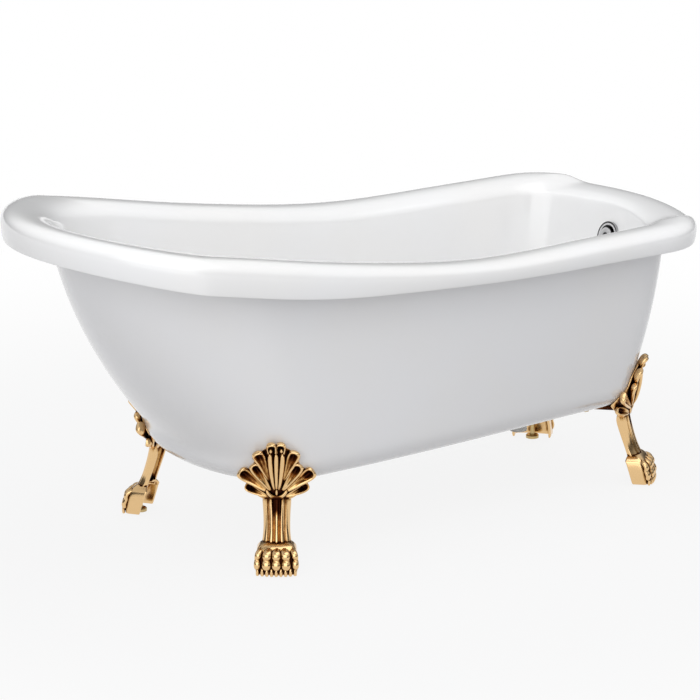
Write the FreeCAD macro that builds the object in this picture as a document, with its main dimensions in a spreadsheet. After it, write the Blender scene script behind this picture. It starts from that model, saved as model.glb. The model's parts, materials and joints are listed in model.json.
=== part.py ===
import FreeCAD, Part
import math
import os
import re

from FreeCAD import Placement, Rotation, Vector

# A freestanding slipper bath: a basin with a rolled rim bonded into an outer skirt, a pop-up waste with a
# turning overflow, and four cast claw feet. Millimetres. The floor is z = 0, the high backrest end is at -X.

doc = FreeCAD.newDocument("slipper_bath")
sheet = doc.addObject("Spreadsheet::Sheet", "Sizes")

SIZES = (
    # Plan of the rolled rim
    ("tub_length", 1700),
    ("rim_half_width", 360),
    ("rim_widest_from_head", 243),
    ("rim_tail_half_width", 326),
    ("rim_corner", 209),
    ("rim_end_bow", 15),
    # Height of the rim's crest, from the head end to the tail end
    ("rim_head_height", 796),
    ("rim_shoulder_height", 746),
    ("rim_fall_height", 676),
    ("rim_saddle_height", 626),
    ("rim_side_height", 621),
    ("rim_tail_height", 622),
    # The ledge between the raised corners of the tail end
    ("ledge_drop", 14),
    ("ledge_half_width", 193),
    ("ledge_blend", 32),
    # Section of the rolled rim
    ("lip_head_height", 68),
    ("lip_shoulder_height", 77),
    ("lip_saddle_height", 43),
    ("lip_side_height", 47),
    ("lip_tail_height", 57),
    ("lip_tuck", 5),
    ("rim_crest_inset", 50),
    ("rim_inner_drop", 45),
    # Basin
    ("basin_wall", 6),
    ("mouth_head_inset", 110),
    ("mouth_tail_inset", 111),
    ("mouth_half_width", 249),
    ("mouth_widest_from_head", 400),
    ("mouth_tail_half_width", 217),
    ("mouth_corner", 140),
    ("mouth_bow", 14),
    ("basin_head_inset", 420),
    ("basin_tail_inset", 210),
    ("basin_half_width", 200),
    ("basin_widest_from_head", 590),
    ("basin_tail_half_width", 182),
    ("basin_corner", 150),
    ("basin_bow", 2),
    ("floor_radius", 90),
    ("floor_margin", 14),
    # Skirt
    ("skirt_wall", 5),
    ("skirt_top_head_inset", 93),
    ("skirt_top_tail_inset", 74),
    ("skirt_top_half_width", 299),
    ("skirt_top_widest_from_head", 452),
    ("skirt_top_tail_half_width", 269),
    ("skirt_top_corner", 175),
    ("skirt_top_bow", 24),
    ("skirt_rim_gap", 6),
    ("skirt_head_inset", 375),
    ("skirt_tail_inset", 140),
    ("skirt_half_width", 282),
    ("skirt_widest_from_head", 557),
    ("skirt_tail_half_width", 232),
    ("skirt_corner", 156),
    ("skirt_bow", 19),
    ("skirt_round", 65),
    ("skirt_flange", 70),
    ("opening_corner", 60),
    ("ground_clearance", 185),
    ("bond_gap", 0.4),
    # Board under the basin's floor
    ("board_thickness", 18),
    ("board_edge_gap", 3),
    ("service_slot_width", 60),
    ("service_slot_from_tail", 172),
    # Waste in the floor
    ("drain_from_tail", 380),
    ("drain_hole", 52),
    ("flange_radius", 36),
    ("flange_thickness", 2.5),
    ("flange_bore", 19),
    ("spigot_radius", 22),
    ("spigot_length", 28),
    ("guide_height", 6),
    ("guide_radius", 8),
    ("guide_width", 4),
    ("washer_thickness", 1),
    ("washer_inset", 2),
    ("gasket_thickness", 3),
    ("waste_radius", 30),
    ("waste_rim_radius", 42),
    ("waste_rim_thickness", 6),
    ("waste_depth", 66),
    ("waste_wall", 3),
    ("outlet_radius", 20),
    ("outlet_wall", 2),
    ("outlet_length", 50),
    ("outlet_relief", 0.5),
    ("outlet_groove", 2),
    ("outlet_insertion", 16),
    ("outlet_nut_radius", 30),
    ("outlet_nut_height", 14),
    ("thread_gap", 0.1),
    # Pop-up plug
    ("plug_radius", 31),
    ("plug_thickness", 5),
    ("plug_edge", 2),
    ("plug_crown_radius", 25),
    ("plug_stem_radius", 4),
    ("plug_stem_length", 34),
    ("stem_eye_radius", 1),
    ("plug_seal_radius", 27),
    ("plug_seal_thickness", 1.5),
    ("seat_gap", 0.3),
    ("running_gap", 0.05),
    # Overflow
    ("overflow_height", 524),
    ("overflow_ring_radius", 35),
    ("overflow_ring_bore", 27),
    ("overflow_ring_depth", 7),
    ("overflow_web", 2),
    ("overflow_tube_radius", 26),
    ("overflow_tube_wall", 2.5),
    ("overflow_tube_length", 13),
    ("overflow_knob_radius", 22),
    ("overflow_knob_depth", 11),
    ("knob_edge", 2),
    ("overflow_shaft_radius", 4),
    ("overflow_body_radius", 37),
    ("overflow_body_depth", 24),
    ("overflow_flange", 3),
    ("overflow_gasket_thickness", 2.5),
    ("overflow_bush", 12),
    ("overflow_bush_radius", 8),
    ("spout_length", 26),
    ("spot_face", 1),
    # Hose and cable between the two shells
    ("hose_radius", 12),
    ("hose_wall", 2),
    ("hose_bend", 45),
    ("hose_nut_radius", 14),
    ("hose_nut_length", 16),
    ("branch_drop", 40),
    ("branch_reach", 50),
    ("branch_wall", 1.8),
    ("cable_radius", 2.5),
    ("cable_side", 22),
    ("gland_radius", 5),
    ("gland_depth", 10),
    # Claw feet
    ("head_foot_from_head", 462),
    ("head_foot_side", 271),
    ("head_foot_turn", 54),
    ("tail_foot_from_tail", 183),
    ("tail_foot_side", 205.5),
    ("tail_foot_turn", 45),
    ("skirt_clearance", 0.4),
    ("palmette_height", 288),
    ("palmette_half_width", 79),
    ("lobe_top_radius", 19),
    ("lobe_upper_radius", 17),
    ("lobe_side_radius", 16),
    ("lobe_low_radius", 14),
    ("palmette_thickness", 8),
    ("flute_root_radius", 7),
    ("neck_height", 150),
    ("neck_setback", 42),
    ("ankle_height", 62),
    ("instep_depth", 56),
    ("instep_width", 82),
    ("ankle_depth", 40),
    ("ankle_width", 66),
    ("shank_depth", 30),
    ("shank_width", 54),
    ("neck_depth", 38),
    ("neck_width", 66),
    ("crown_setback", 67),
    ("crown_depth", 72),
    ("crown_width", 74),
    ("paw_height", 50),
    ("paw_width", 88),
    ("paw_length", 60),
    ("paw_corner", 12),
    ("knuckle_radius", 12.5),
    ("knuckle_setback", 5),
    ("claw_radius", 9.5),
    ("claw_reach", 4),
    ("paw_clearance", 2),
    ("casting_wall", 7),
    ("lug_thickness", 10),
    ("lug_half_width", 34),
    ("lug_bolt_setback", 128),
    ("lug_margin", 16),
    ("lug_bolt_spacing", 40),
    # Levelling screws
    ("leveller_screw_radius", 6),
    ("leveller_length", 58),
    ("leveller_travel", 14),
    ("thread_runout", 3),
    ("leveller_pad_radius", 15),
    ("leveller_pad_height", 8),
    ("leveller_pad_edge", 2),
    ("leveller_boss_radius", 14),
    # Foot bolts
    ("bolt_radius", 5),
    ("bolt_head_radius", 9.8),
    ("bolt_head_height", 6.4),
    ("bolt_gap", 0.3),
    ("bolt_washer_radius", 11),
    ("bolt_washer_thickness", 2),
    ("tee_wall", 1.4),
    ("tee_flange_radius", 13),
    ("tee_flange_thickness", 1.6),
)
for row, (alias, value) in enumerate(SIZES, start=1):
    sheet.set(f"A{row}", alias.replace("_", " "))
    sheet.set(f"B{row}", str(value))
    sheet.setAlias(f"B{row}", alias)
doc.recompute()


def size(alias):
    return float(getattr(sheet, alias))


HEAD = -size("tub_length") / 2
TAIL = size("tub_length") / 2
GROUND_TO_BOARD = size("ground_clearance") + size("skirt_wall")
FLOOR_UNDERSIDE = GROUND_TO_BOARD + size("board_thickness") + size("bond_gap")
FLOOR_TOP = FLOOR_UNDERSIDE + size("basin_wall")
SKIRT_ROUND_TOP = size("ground_clearance") + size("skirt_round")


# Plan outlines. Each half runs from the head end over the widest point and the tail corner to the tail end.

CURVE_STEPS = (10, 10, 6, 3)
SIDE_TAPER = 1.2
SIDE_PULL = 0.4
CORNER_PULL = 0.58
END_PULL = 0.3

# Fullness of each outline: how blunt its head is, and how far its shoulder runs straight
RIM_FULLNESS = (0.48, 0.30)
MOUTH_FULLNESS = (0.53, 0.42)
SKIRT_TOP_FULLNESS = (0.54, 0.46)
SKIRT_FOOT_FULLNESS = (0.69, 0.42)
BASIN_FOOT_FULLNESS = (0.66, 0.45)


def bezier(points, s):
    weights = ((1 - s) ** 3, 3 * s * (1 - s) ** 2, 3 * s * s * (1 - s), s ** 3)
    return tuple(sum(w * p[axis] for w, p in zip(weights, points)) for axis in (0, 1))


def bezier_slope(points, s):
    weights = ((1 - s) ** 2, 2 * s * (1 - s), s * s)
    steps = [(b[0] - a[0], b[1] - a[1]) for a, b in zip(points, points[1:])]
    return tuple(sum(w * p[axis] for w, p in zip(weights, steps)) for axis in (0, 1))


def plan_outline(head, tail, wide, widest, tail_wide, corner, bow, fullness):
    """Points of a closed plan outline, each with its outward normal, from the tail round the +Y side."""
    nose, shoulder = fullness
    run = tail - corner - widest
    fall = SIDE_TAPER * (tail_wide - wide) / run
    flat = tail_wide - corner
    bow_length = math.hypot(2 * bow, flat)
    lead = CORNER_PULL * corner / bow_length
    curves = (
        ((head, 0), (head, nose * wide), (widest - shoulder * (widest - head), wide), (widest, wide)),
        ((widest, wide), (widest + SIDE_PULL * run, wide),
         (tail - corner - SIDE_PULL * run, tail_wide - SIDE_PULL * run * fall), (tail - corner, tail_wide)),
        ((tail - corner, tail_wide),
         (tail - (1 - CORNER_PULL) * corner, tail_wide + CORNER_PULL * corner * fall),
         (tail - bow - lead * 2 * bow, flat + lead * flat), (tail - bow, flat)),
        ((tail - bow, flat), (tail - (1 - 2 * END_PULL) * bow, (1 - END_PULL) * flat),
         (tail, END_PULL * flat), (tail, 0)),
    )
    half = []
    for curve, steps in zip(curves, CURVE_STEPS):
        for step in range(steps):
            along = bezier_slope(curve, step / steps)
            length = math.hypot(*along)
            half.append((bezier(curve, step / steps), (-along[1] / length, along[0] / length)))
    half.append(((tail, 0), (1.0, 0.0)))
    near = [((x, -y), (nx, -ny)) for (x, y), (nx, ny) in half[1:-1]]
    return half[::-1] + near


def inset_outline(outline, distance):
    return [((x - distance * nx, y - distance * ny), (nx, ny)) for (x, y), (nx, ny) in outline]


RIM = plan_outline(HEAD, TAIL, size("rim_half_width"), HEAD + size("rim_widest_from_head"),
                   size("rim_tail_half_width"), size("rim_corner"), size("rim_end_bow"), RIM_FULLNESS)
MOUTH = plan_outline(HEAD + size("mouth_head_inset"), TAIL - size("mouth_tail_inset"),
                     size("mouth_half_width"), HEAD + size("mouth_widest_from_head"),
                     size("mouth_tail_half_width"), size("mouth_corner"), size("mouth_bow"),
                     MOUTH_FULLNESS)
SKIRT_TOP = plan_outline(HEAD + size("skirt_top_head_inset"), TAIL - size("skirt_top_tail_inset"),
                         size("skirt_top_half_width"), HEAD + size("skirt_top_widest_from_head"),
                         size("skirt_top_tail_half_width"), size("skirt_top_corner"), size("skirt_top_bow"),
                         SKIRT_TOP_FULLNESS)
SKIRT_FOOT = plan_outline(HEAD + size("skirt_head_inset"), TAIL - size("skirt_tail_inset"),
                          size("skirt_half_width"), HEAD + size("skirt_widest_from_head"),
                          size("skirt_tail_half_width"), size("skirt_corner"), size("skirt_bow"),
                          SKIRT_FOOT_FULLNESS)
BASIN_FOOT = plan_outline(HEAD + size("basin_head_inset"), TAIL - size("basin_tail_inset"),
                          size("basin_half_width"), HEAD + size("basin_widest_from_head"),
                          size("basin_tail_half_width"), size("basin_corner"), size("basin_bow"),
                          BASIN_FOOT_FULLNESS)


# Heights along the tub

RIM_STATIONS = (-1.0, -0.65, -0.235, 0.176, 0.59, 1.0)
RIM_HEIGHTS = [size(name) for name in ("rim_head_height", "rim_shoulder_height", "rim_fall_height",
                                       "rim_saddle_height", "rim_side_height", "rim_tail_height")]
LIP_STATIONS = (-1.0, -0.47, 0.12, 0.53, 1.0)
LIP_HEIGHTS = [size(name) for name in ("lip_head_height", "lip_shoulder_height", "lip_saddle_height",
                                       "lip_side_height", "lip_tail_height")]


def smooth_through(stations, values, at):
    """A smooth curve through the values, with each slope taken from the two neighbours."""
    at = min(max(at, stations[0]), stations[-1])
    index = max(i for i in range(len(stations) - 1) if stations[i] <= at)

    def slope(i):
        low, high = max(i - 1, 0), min(i + 1, len(stations) - 1)
        return (values[high] - values[low]) / (stations[high] - stations[low])

    width = stations[index + 1] - stations[index]
    s = (at - stations[index]) / width
    start, end = values[index], values[index + 1]
    return (start * (1 + 2 * s) * (1 - s) ** 2 + end * s * s * (3 - 2 * s)
            + slope(index) * width * s * (1 - s) ** 2 - slope(index + 1) * width * s * s * (1 - s))


def ease(s):
    s = min(max(s, 0.0), 1.0)
    return s * s * (3 - 2 * s)


def rim_line(x):
    return smooth_through(RIM_STATIONS, RIM_HEIGHTS, x / TAIL)


def lip_height(x):
    return smooth_through(LIP_STATIONS, LIP_HEIGHTS, x / TAIL)


def ledge(x, y):
    across = 1 - ease((abs(y) - size("ledge_half_width")) / size("ledge_blend"))
    return size("ledge_drop") * across * ease(x / size("rim_corner"))


# The two shells are lofted through closed rows of points that run round the tub.

ROLL_POWER = 2 / 2.5
OUTER_ROLL = (0, 22, 45, 68, 90)
INNER_ROLL = (22, 42, 60, 78)
ROLL_SHARE = 0.5
LIP_SHARE = 0.78
LIP_EASE = 0.3


def rim_row(outline, drop, lip_share, ledge_share):
    row = []
    for (x, y), normal in outline:
        z = rim_line(x) - drop - lip_share * lip_height(x) - ledge_share * ledge(x, y)
        row.append(Vector(x, y, z))
    return row


def between(a, b, share):
    """An outline between two others, point by point."""
    return [((p[0] + (q[0] - p[0]) * share, p[1] + (q[1] - p[1]) * share), normal)
            for (p, normal), (q, other) in zip(a, b)]


def roll_drop(share):
    """Fall of the inner roll from the crest, where share of the way from the crest to the mouth is covered."""
    sine = share ** (1 / ROLL_POWER)
    return size("rim_inner_drop") * (1 - (1 - sine * sine) ** (ROLL_POWER / 2))


CREST = inset_outline(RIM, size("rim_crest_inset"))


def rim_rows():
    tuck = size("lip_tuck")
    rows = [rim_row(inset_outline(RIM, tuck), 0, 1.0, 0), rim_row(inset_outline(RIM, LIP_EASE * tuck), 0, LIP_SHARE, 0)]
    for degrees in OUTER_ROLL:
        angle = math.radians(degrees)
        inset = size("rim_crest_inset") * (1 - math.cos(angle) ** ROLL_POWER)
        rise = math.sin(angle) ** ROLL_POWER
        rows.append(rim_row(inset_outline(RIM, inset), 0, ROLL_SHARE * (1 - rise), rise))
    for degrees in INNER_ROLL:
        share = math.sin(math.radians(degrees)) ** ROLL_POWER
        rows.append(rim_row(between(CREST, MOUTH, share), roll_drop(share), 0, 1))
    return rows


def blend(a, b, share):
    return [p + (q - p) * share for p, q in zip(a, b)]


def flat_row(outline, z):
    return [Vector(x, y, z) for (x, y), normal in outline]


WALL_SHARES = (0.3, 0.6)
FLOOR_CURVE = (0.2, 0.4, 0.6, 0.8)


def basin_rows():
    """Rows of the basin's upper face, from the lip's lower edge over the rim and down to the floor."""
    rows = rim_rows()
    wall_top = rows[-1]
    wall_foot = flat_row(BASIN_FOOT, FLOOR_TOP)
    floor_edge = flat_row(inset_outline(BASIN_FOOT, size("floor_radius")), FLOOR_TOP)
    for share in WALL_SHARES:
        rows.append(blend(wall_top, wall_foot, share))
    wall_end = rows[-1]
    for s in FLOOR_CURVE:
        rows.append(blend(blend(wall_end, wall_foot, s), blend(wall_foot, floor_edge, s), s))
    rows.append(floor_edge)
    rows.append(flat_row(inset_outline(BASIN_FOOT, size("floor_radius") + size("floor_margin")), FLOOR_TOP))
    return rows


def offset_rows(rows, distance):
    """The rows of the hidden face, one wall thickness behind the shown one."""
    count = len(rows[0])
    hidden = []
    for i, row in enumerate(rows):
        before, after = rows[max(i - 1, 0)], rows[min(i + 1, len(rows) - 1)]
        hidden_row = []
        for j, point in enumerate(row):
            round_tub = row[(j + 1) % count] - row[j - 1]
            across = after[j] - before[j]
            normal = round_tub.cross(across).normalize()
            if i == 0:
                normal = Vector(normal.x, normal.y, 0).normalize()
            if i == len(rows) - 1:
                normal = Vector(0, 0, 1)
            hidden_row.append(point - normal * distance)
        hidden.append(hidden_row)
    return hidden


def loop_wire(row):
    curve = Part.BSplineCurve()
    curve.interpolate(Points=row, PeriodicFlag=True)
    return Part.Wire([curve.toShape()])


def loft_faces(rows):
    return Part.makeLoft([loop_wire(row) for row in rows], False, True).Faces


def closed_solid(faces):
    shell = Part.makeShell(faces)
    shell.sewShape()
    solid = Part.makeSolid(shell)
    if solid.Volume < 0:
        solid.reverse()
    return solid


def basin_blank():
    upper = basin_rows()
    lower = offset_rows(upper, size("basin_wall"))
    faces = loft_faces(upper) + loft_faces(lower) + loft_faces([upper[0], lower[0]])
    faces += [Part.Face(loop_wire(upper[-1])), Part.Face(loop_wire(lower[-1]))]
    return closed_solid(faces)


SKIRT_BELLY = 0.55
ROUND_ANGLES = (90, 68, 45, 22, 0)
SKIRT_LEVELS = (0.2, 0.4, 0.6, 0.8, 1.0)


def skirt_ends(inset):
    """The skirt's outline at the lip's lower edge and where the bottom round starts."""
    top = rim_row(inset_outline(SKIRT_TOP, inset), 0, 1.0, 0)
    return top, flat_row(inset_outline(SKIRT_FOOT, inset), SKIRT_ROUND_TOP)


def skirt_point(top, foot, level):
    """A point of the bellied wall: level 0 is the top of the bottom round and level 1 the lip's edge."""
    share = level + SKIRT_BELLY * level * (1 - level)
    return Vector(foot.x + (top.x - foot.x) * share, foot.y + (top.y - foot.y) * share,
                  foot.z + (top.z - foot.z) * level)


def round_rows(inset):
    radius = size("skirt_round") - inset
    rows = []
    for degrees in ROUND_ANGLES:
        angle = math.radians(degrees)
        outline = inset_outline(SKIRT_FOOT, inset + radius * (1 - math.cos(angle)))
        rows.append(flat_row(outline, SKIRT_ROUND_TOP - radius * math.sin(angle)))
    return rows


def skirt_rows(inset):
    top, foot = skirt_ends(inset)
    rows = round_rows(inset)
    for level in SKIRT_LEVELS:
        rows.append([skirt_point(t, f, level) for t, f in zip(top, foot)])
    return rows


def distance_to(outline, x, y):
    """Shortest distance in plan from a point to a closed outline."""
    shortest = []
    points = [p for p, normal in outline]
    for (ax, ay), (bx, by) in zip(points, points[1:] + points[:1]):
        run = (bx - ax) ** 2 + (by - ay) ** 2
        s = min(max(((x - ax) * (bx - ax) + (y - ay) * (by - ay)) / run, 0), 1)
        shortest.append(math.hypot(ax + s * (bx - ax) - x, ay + s * (by - ay) - y))
    return min(shortest)


def skirt_top_row(inset):
    """The skirt's upper edge, tucked up under the rim."""
    row = []
    below = size("basin_wall") + size("skirt_rim_gap")
    for (x, y), normal in inset_outline(SKIRT_TOP, inset):
        from_crest, from_mouth = distance_to(CREST, x, y), distance_to(MOUTH, x, y)
        fall = roll_drop(from_crest / (from_crest + from_mouth))
        row.append(Vector(x, y, rim_line(x) - ledge(x, y) - fall - below))
    return row


def inner_outline(inset, corner):
    """An outline inside the skirt's foot, with a corner of its own."""
    return plan_outline(HEAD + size("skirt_head_inset") + inset, TAIL - size("skirt_tail_inset") - inset,
                        size("skirt_half_width") - inset, HEAD + size("skirt_widest_from_head"),
                        size("skirt_tail_half_width") - inset, corner, size("basin_bow"),
                        SKIRT_FOOT_FULLNESS)


def skirt_blank():
    outer = skirt_rows(0) + [skirt_top_row(0)]
    inner = skirt_rows(size("skirt_wall")) + [skirt_top_row(size("skirt_wall"))]
    opening = inner_outline(size("skirt_round") + size("skirt_flange"), size("opening_corner"))
    low_edge = loop_wire(flat_row(opening, size("ground_clearance")))
    high_edge = loop_wire(flat_row(opening, GROUND_TO_BOARD))
    faces = loft_faces(outer) + loft_faces(inner) + loft_faces([outer[-1], inner[-1]])
    faces += Part.makeLoft([low_edge, high_edge], False, True).Faces
    for edge, opening_edge in ((outer[0], low_edge), (inner[0], high_edge)):
        faces += Part.Face(loop_wire(edge)).cut(Part.Face(opening_edge)).Faces
    return closed_solid(faces)


def level_row(z):
    """The skirt's outline in the horizontal plane at this height."""
    if z < SKIRT_ROUND_TOP:
        radius = size("skirt_round")
        sine = min((SKIRT_ROUND_TOP - z) / radius, 1.0)
        return flat_row(inset_outline(SKIRT_FOOT, radius * (1 - math.sqrt(1 - sine * sine))), z)
    top, foot = skirt_ends(0)
    return [skirt_point(t, f, (z - f.z) / (t.z - f.z)) for t, f in zip(top, foot)]


def skirt_envelope(clearance):
    """The room that the skirt's lower part takes up to over the palmettes, with a clearance all round."""
    rows = skirt_rows(-clearance)[:len(ROUND_ANGLES) + 1]
    foot, wall = rows[-2:]
    top = size("palmette_height") + size("palmette_thickness")
    rows[-1] = [f + (w - f) * ((top - f.z) / (w.z - f.z)) for f, w in zip(foot, wall)]
    ends = [Part.Face(loop_wire(row)) for row in (rows[0], rows[-1])]
    return closed_solid(loft_faces(rows) + ends)


def feature(label, shape):
    obj = doc.addObject("Part::Feature", label)
    obj.Label = label
    obj.Shape = shape
    return obj


def rod(start, end, radius, end_radius=None):
    along = end - start
    if end_radius is None or end_radius == radius:
        return Part.makeCylinder(radius, along.Length, start, along)
    return Part.makeCone(radius, end_radius, along.Length, start, along)


def union(shapes):
    whole = shapes[0]
    for shape in shapes[1:]:
        whole = whole.fuse(shape)
    return whole


def upright_edges(block):
    return [e for e in block.Edges if e.BoundBox.ZLength > max(e.BoundBox.XLength, e.BoundBox.YLength)]


# Overflow seat on the tail wall: its Z axis points into the tub and its X axis up the wall

def wall_seat():
    rows = basin_rows()
    first = len(OUTER_ROLL) + len(INNER_ROLL) + 1
    top, foot = rows[first][0], rows[first + len(WALL_SHARES)][0]
    share = (top.z - size("overflow_height")) / (top.z - foot.z)
    inward = Vector(foot.z - top.z, 0, top.x - foot.x).normalize()
    return Placement(top + (foot - top) * share, Rotation(Vector(0, 0, 1), inward))


SEAT = wall_seat()


def at_seat(depth, up=0, side=0):
    return SEAT.multVec(Vector(up, side, depth))


# Waste in the floor: its frame lies on the floor's upper face

DRAIN = Placement(Vector(TAIL - size("drain_from_tail"), 0, FLOOR_TOP), Rotation())


def at_drain(z):
    return Vector(DRAIN.Base.x, DRAIN.Base.y, z)


def make_basin():
    wall, gap = size("basin_wall"), size("bond_gap")
    tube, ring, body = size("overflow_tube_radius"), size("overflow_ring_radius"), size("overflow_body_radius")
    cuts = [
        rod(at_drain(FLOOR_UNDERSIDE - wall), at_drain(FLOOR_TOP + wall), size("drain_hole") / 2),
        rod(at_seat(-2 * wall), at_seat(2 * wall), tube + gap),
        rod(at_seat(-size("spot_face")), at_seat(ring), ring + gap),
        rod(at_seat(size("spot_face") - wall), at_seat(-body), body + gap),
    ]
    return feature("basin_shell", basin_blank().cut(cuts))


def service_slot():
    """Room for the hose and the cable through the flange and the board."""
    half = size("service_slot_width") / 2
    start = DRAIN.Base.x + size("waste_radius")
    end = TAIL - size("service_slot_from_tail")
    return Part.makeBox(end - start, 2 * half, 2 * size("skirt_round"),
                        Vector(start, -half, size("ground_clearance") - size("skirt_round")))


def make_skirt():
    return feature("outer_skirt", skirt_blank().cut([service_slot()] + bolt_holes(size("bolt_gap"))))


def make_board():
    outline = inset_outline(SKIRT_FOOT, size("skirt_round") + size("board_edge_gap"))
    face = Part.Face(loop_wire(flat_row(outline, GROUND_TO_BOARD)))
    blank = face.extrude(Vector(0, 0, size("board_thickness")))
    hole = rod(at_drain(size("ground_clearance")), at_drain(FLOOR_UNDERSIDE),
               size("waste_rim_radius") + size("board_edge_gap"))
    recess_foot = GROUND_TO_BOARD + size("board_thickness") - size("tee_flange_thickness") - size("thread_gap")
    recesses = [rod(place + Vector(0, 0, recess_foot), place + Vector(0, 0, FLOOR_TOP),
                    size("tee_flange_radius") + size("bolt_gap")) for place in bolt_places()]
    barrels = bolt_holes(size("tee_wall") + 2 * size("thread_gap"))
    return feature("base_board", blank.cut([hole, service_slot()] + barrels + recesses))


# Claw feet. Each is drawn in its own frame: X points out from the tub along the toes, Z up, and the origin
# lies on the ground under the middle of the paw.

FEET = (("front_left", -1, -1), ("front_right", 1, -1), ("back_left", -1, 1), ("back_right", 1, 1))


def foot_frame(end, side):
    if end < 0:
        place = Vector(HEAD + size("head_foot_from_head"), side * size("head_foot_side"), 0)
        turn = math.radians(size("head_foot_turn"))
    else:
        place = Vector(TAIL - size("tail_foot_from_tail"), side * size("tail_foot_side"), 0)
        turn = math.radians(size("tail_foot_turn"))
    heading = math.degrees(math.atan2(side * math.sin(turn), end * math.cos(turn)))
    return Placement(place, Rotation(Vector(0, 0, 1), heading))


def bolt_places():
    half = size("lug_bolt_spacing") / 2
    places = []
    for name, end, side in FEET:
        frame = foot_frame(end, side)
        for across in (-half, half):
            places.append(frame.multVec(Vector(-size("lug_bolt_setback"), across, 0)))
    return places


def bolt_holes(gap):
    low = size("ground_clearance") - 2 * size("lug_thickness")
    return [rod(place + Vector(0, 0, low), place + Vector(0, 0, FLOOR_UNDERSIDE), size("bolt_radius") + gap)
            for place in bolt_places()]


def skirt_reach(frame, across, z):
    """Where the skirt's face lies along the foot's own X, at this height and distance to the side."""
    row = [frame.inverse().multVec(point) for point in level_row(z)]
    crossings = []
    for a, b in zip(row, row[1:] + row[:1]):
        if (a.y - across) * (b.y - across) <= 0 and a.y != b.y:
            crossings.append(a.x + (b.x - a.x) * (across - a.y) / (b.y - a.y))
    return max(crossings)


# Lobes of the palmette: share of its half width, share of its height over the neck, and the radius
LOBES = (
    (0.78, 0.22, "lobe_low_radius"),
    (1.0, 0.56, "lobe_side_radius"),
    (0.55, 0.86, "lobe_upper_radius"),
    (0.0, 1.0, "lobe_top_radius"),
)
FLUTE_SHARE = 0.62
ROOT_SHARE = 0.3


def lobe_places():
    """Side, height and radius of each lobe, from the low one on one side round to the other."""
    neck = size("neck_height")
    half = []
    for across_share, rise_share, name in LOBES:
        radius = size(name)
        half.append((across_share * (size("palmette_half_width") - radius),
                     neck + rise_share * (size("palmette_height") - radius - neck), radius))
    return half + [(-across, z, radius) for across, z, radius in reversed(half[:-1])]


def palmette_plate(cover):
    """The scalloped plate that lies on the skirt: a fan with a round lobe at each corner."""
    rear, run = -size("crown_setback"), 2 * size("crown_setback")
    half = size("neck_width") / 2
    fan = [Vector(rear, half, size("neck_height"))]
    fan += [Vector(rear, across, z) for across, z, radius in lobe_places()]
    fan += [Vector(rear, -half, size("neck_height"))]
    along = Vector(run, 0, 0)
    lobes = [Part.makeCylinder(radius, run, Vector(rear, across, z), along) for across, z, radius in lobe_places()]
    return union([Part.Face(Part.makePolygon(fan + fan[:1])).extrude(along)] + lobes).common(cover)


def palmette_flutes(frame):
    """A swelling flute on each lobe, from the neck out to a rounded tip."""
    solids = []
    for across, z, radius in lobe_places():
        tip = Vector(skirt_reach(frame, across, z) + size("palmette_thickness"), across, z)
        root = Vector(-size("neck_setback"), ROOT_SHARE * across, size("neck_height"))
        tip_radius = FLUTE_SHARE * radius
        flute = rod(root, tip, size("flute_root_radius"), tip_radius)
        solids.append(flute.fuse(Part.makeSphere(tip_radius, tip)))
    return solids


def ellipse_wire(x, z, depth, width):
    centre = Vector(x, 0, z)
    wide, deep = centre + Vector(0, width / 2, 0), centre + Vector(depth / 2, 0, 0)
    longer, shorter = (deep, wide) if depth > width else (wide, deep)
    return Part.Wire([Part.Ellipse(longer, shorter, centre).toShape()])


# Sections of the shank from the paw up to the tub: rise from the ankle to the neck, share of the neck's
# setback, and the section's depth and width
SHANK = (
    (0.0, 0.2, "ankle_depth", "ankle_width"),
    (0.35, 0.65, "shank_depth", "shank_width"),
    (0.68, 0.95, "shank_depth", "shank_width"),
    (1.0, 1.0, "neck_depth", "neck_width"),
)


def shank_sections():
    neck, ankle = size("neck_height"), size("ankle_height")
    return [(ankle + rise * (neck - ankle), -share * size("neck_setback"), size(depth), size(width))
            for rise, share, depth, width in SHANK]


def shank():
    sole = (size("paw_height") - size("casting_wall"), 0, size("instep_depth"), size("instep_width"))
    crown = (size("ground_clearance") - size("skirt_clearance"), -size("crown_setback"),
             size("crown_depth"), size("crown_width"))
    sections = [sole] + shank_sections() + [crown]
    return Part.makeLoft([ellipse_wire(x, z, depth, width) for z, x, depth, width in sections], True)


def shank_hollow():
    """The open back of the casting, from over the levelling screw up to the neck."""
    wall = size("casting_wall")
    wires = [ellipse_wire(x - depth / 2, z, 2 * (depth - wall), width - 2 * wall)
             for z, x, depth, width in shank_sections()]
    low, high = size("leveller_length") + wall, size("neck_height") - wall
    reach = size("lug_bolt_setback")
    room = Part.makeBox(2 * reach, 2 * reach, high - low, Vector(-reach, -reach, low))
    return Part.makeLoft(wires, True).common(room)


TOE_COUNT = 4


def paw():
    length, width, roof = size("paw_length"), size("paw_width"), size("paw_height")
    low, knuckle_radius, claw_radius = size("paw_clearance"), size("knuckle_radius"), size("claw_radius")
    block = Part.makeBox(length, width, roof - low, Vector(-length / 2, -width / 2, low))
    solids = [block.makeFillet(size("paw_corner"), upright_edges(block))]
    for toe in range(TOE_COUNT):
        across = (toe - (TOE_COUNT - 1) / 2) * width / TOE_COUNT
        knuckle = Vector(length / 2 - size("knuckle_setback"), across, roof - knuckle_radius)
        claw = Vector(length / 2 + size("claw_reach"), across, low + claw_radius)
        solids += [Part.makeSphere(knuckle_radius, knuckle), Part.makeSphere(claw_radius, claw),
                   rod(knuckle, claw, knuckle_radius, claw_radius)]
    return solids


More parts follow.
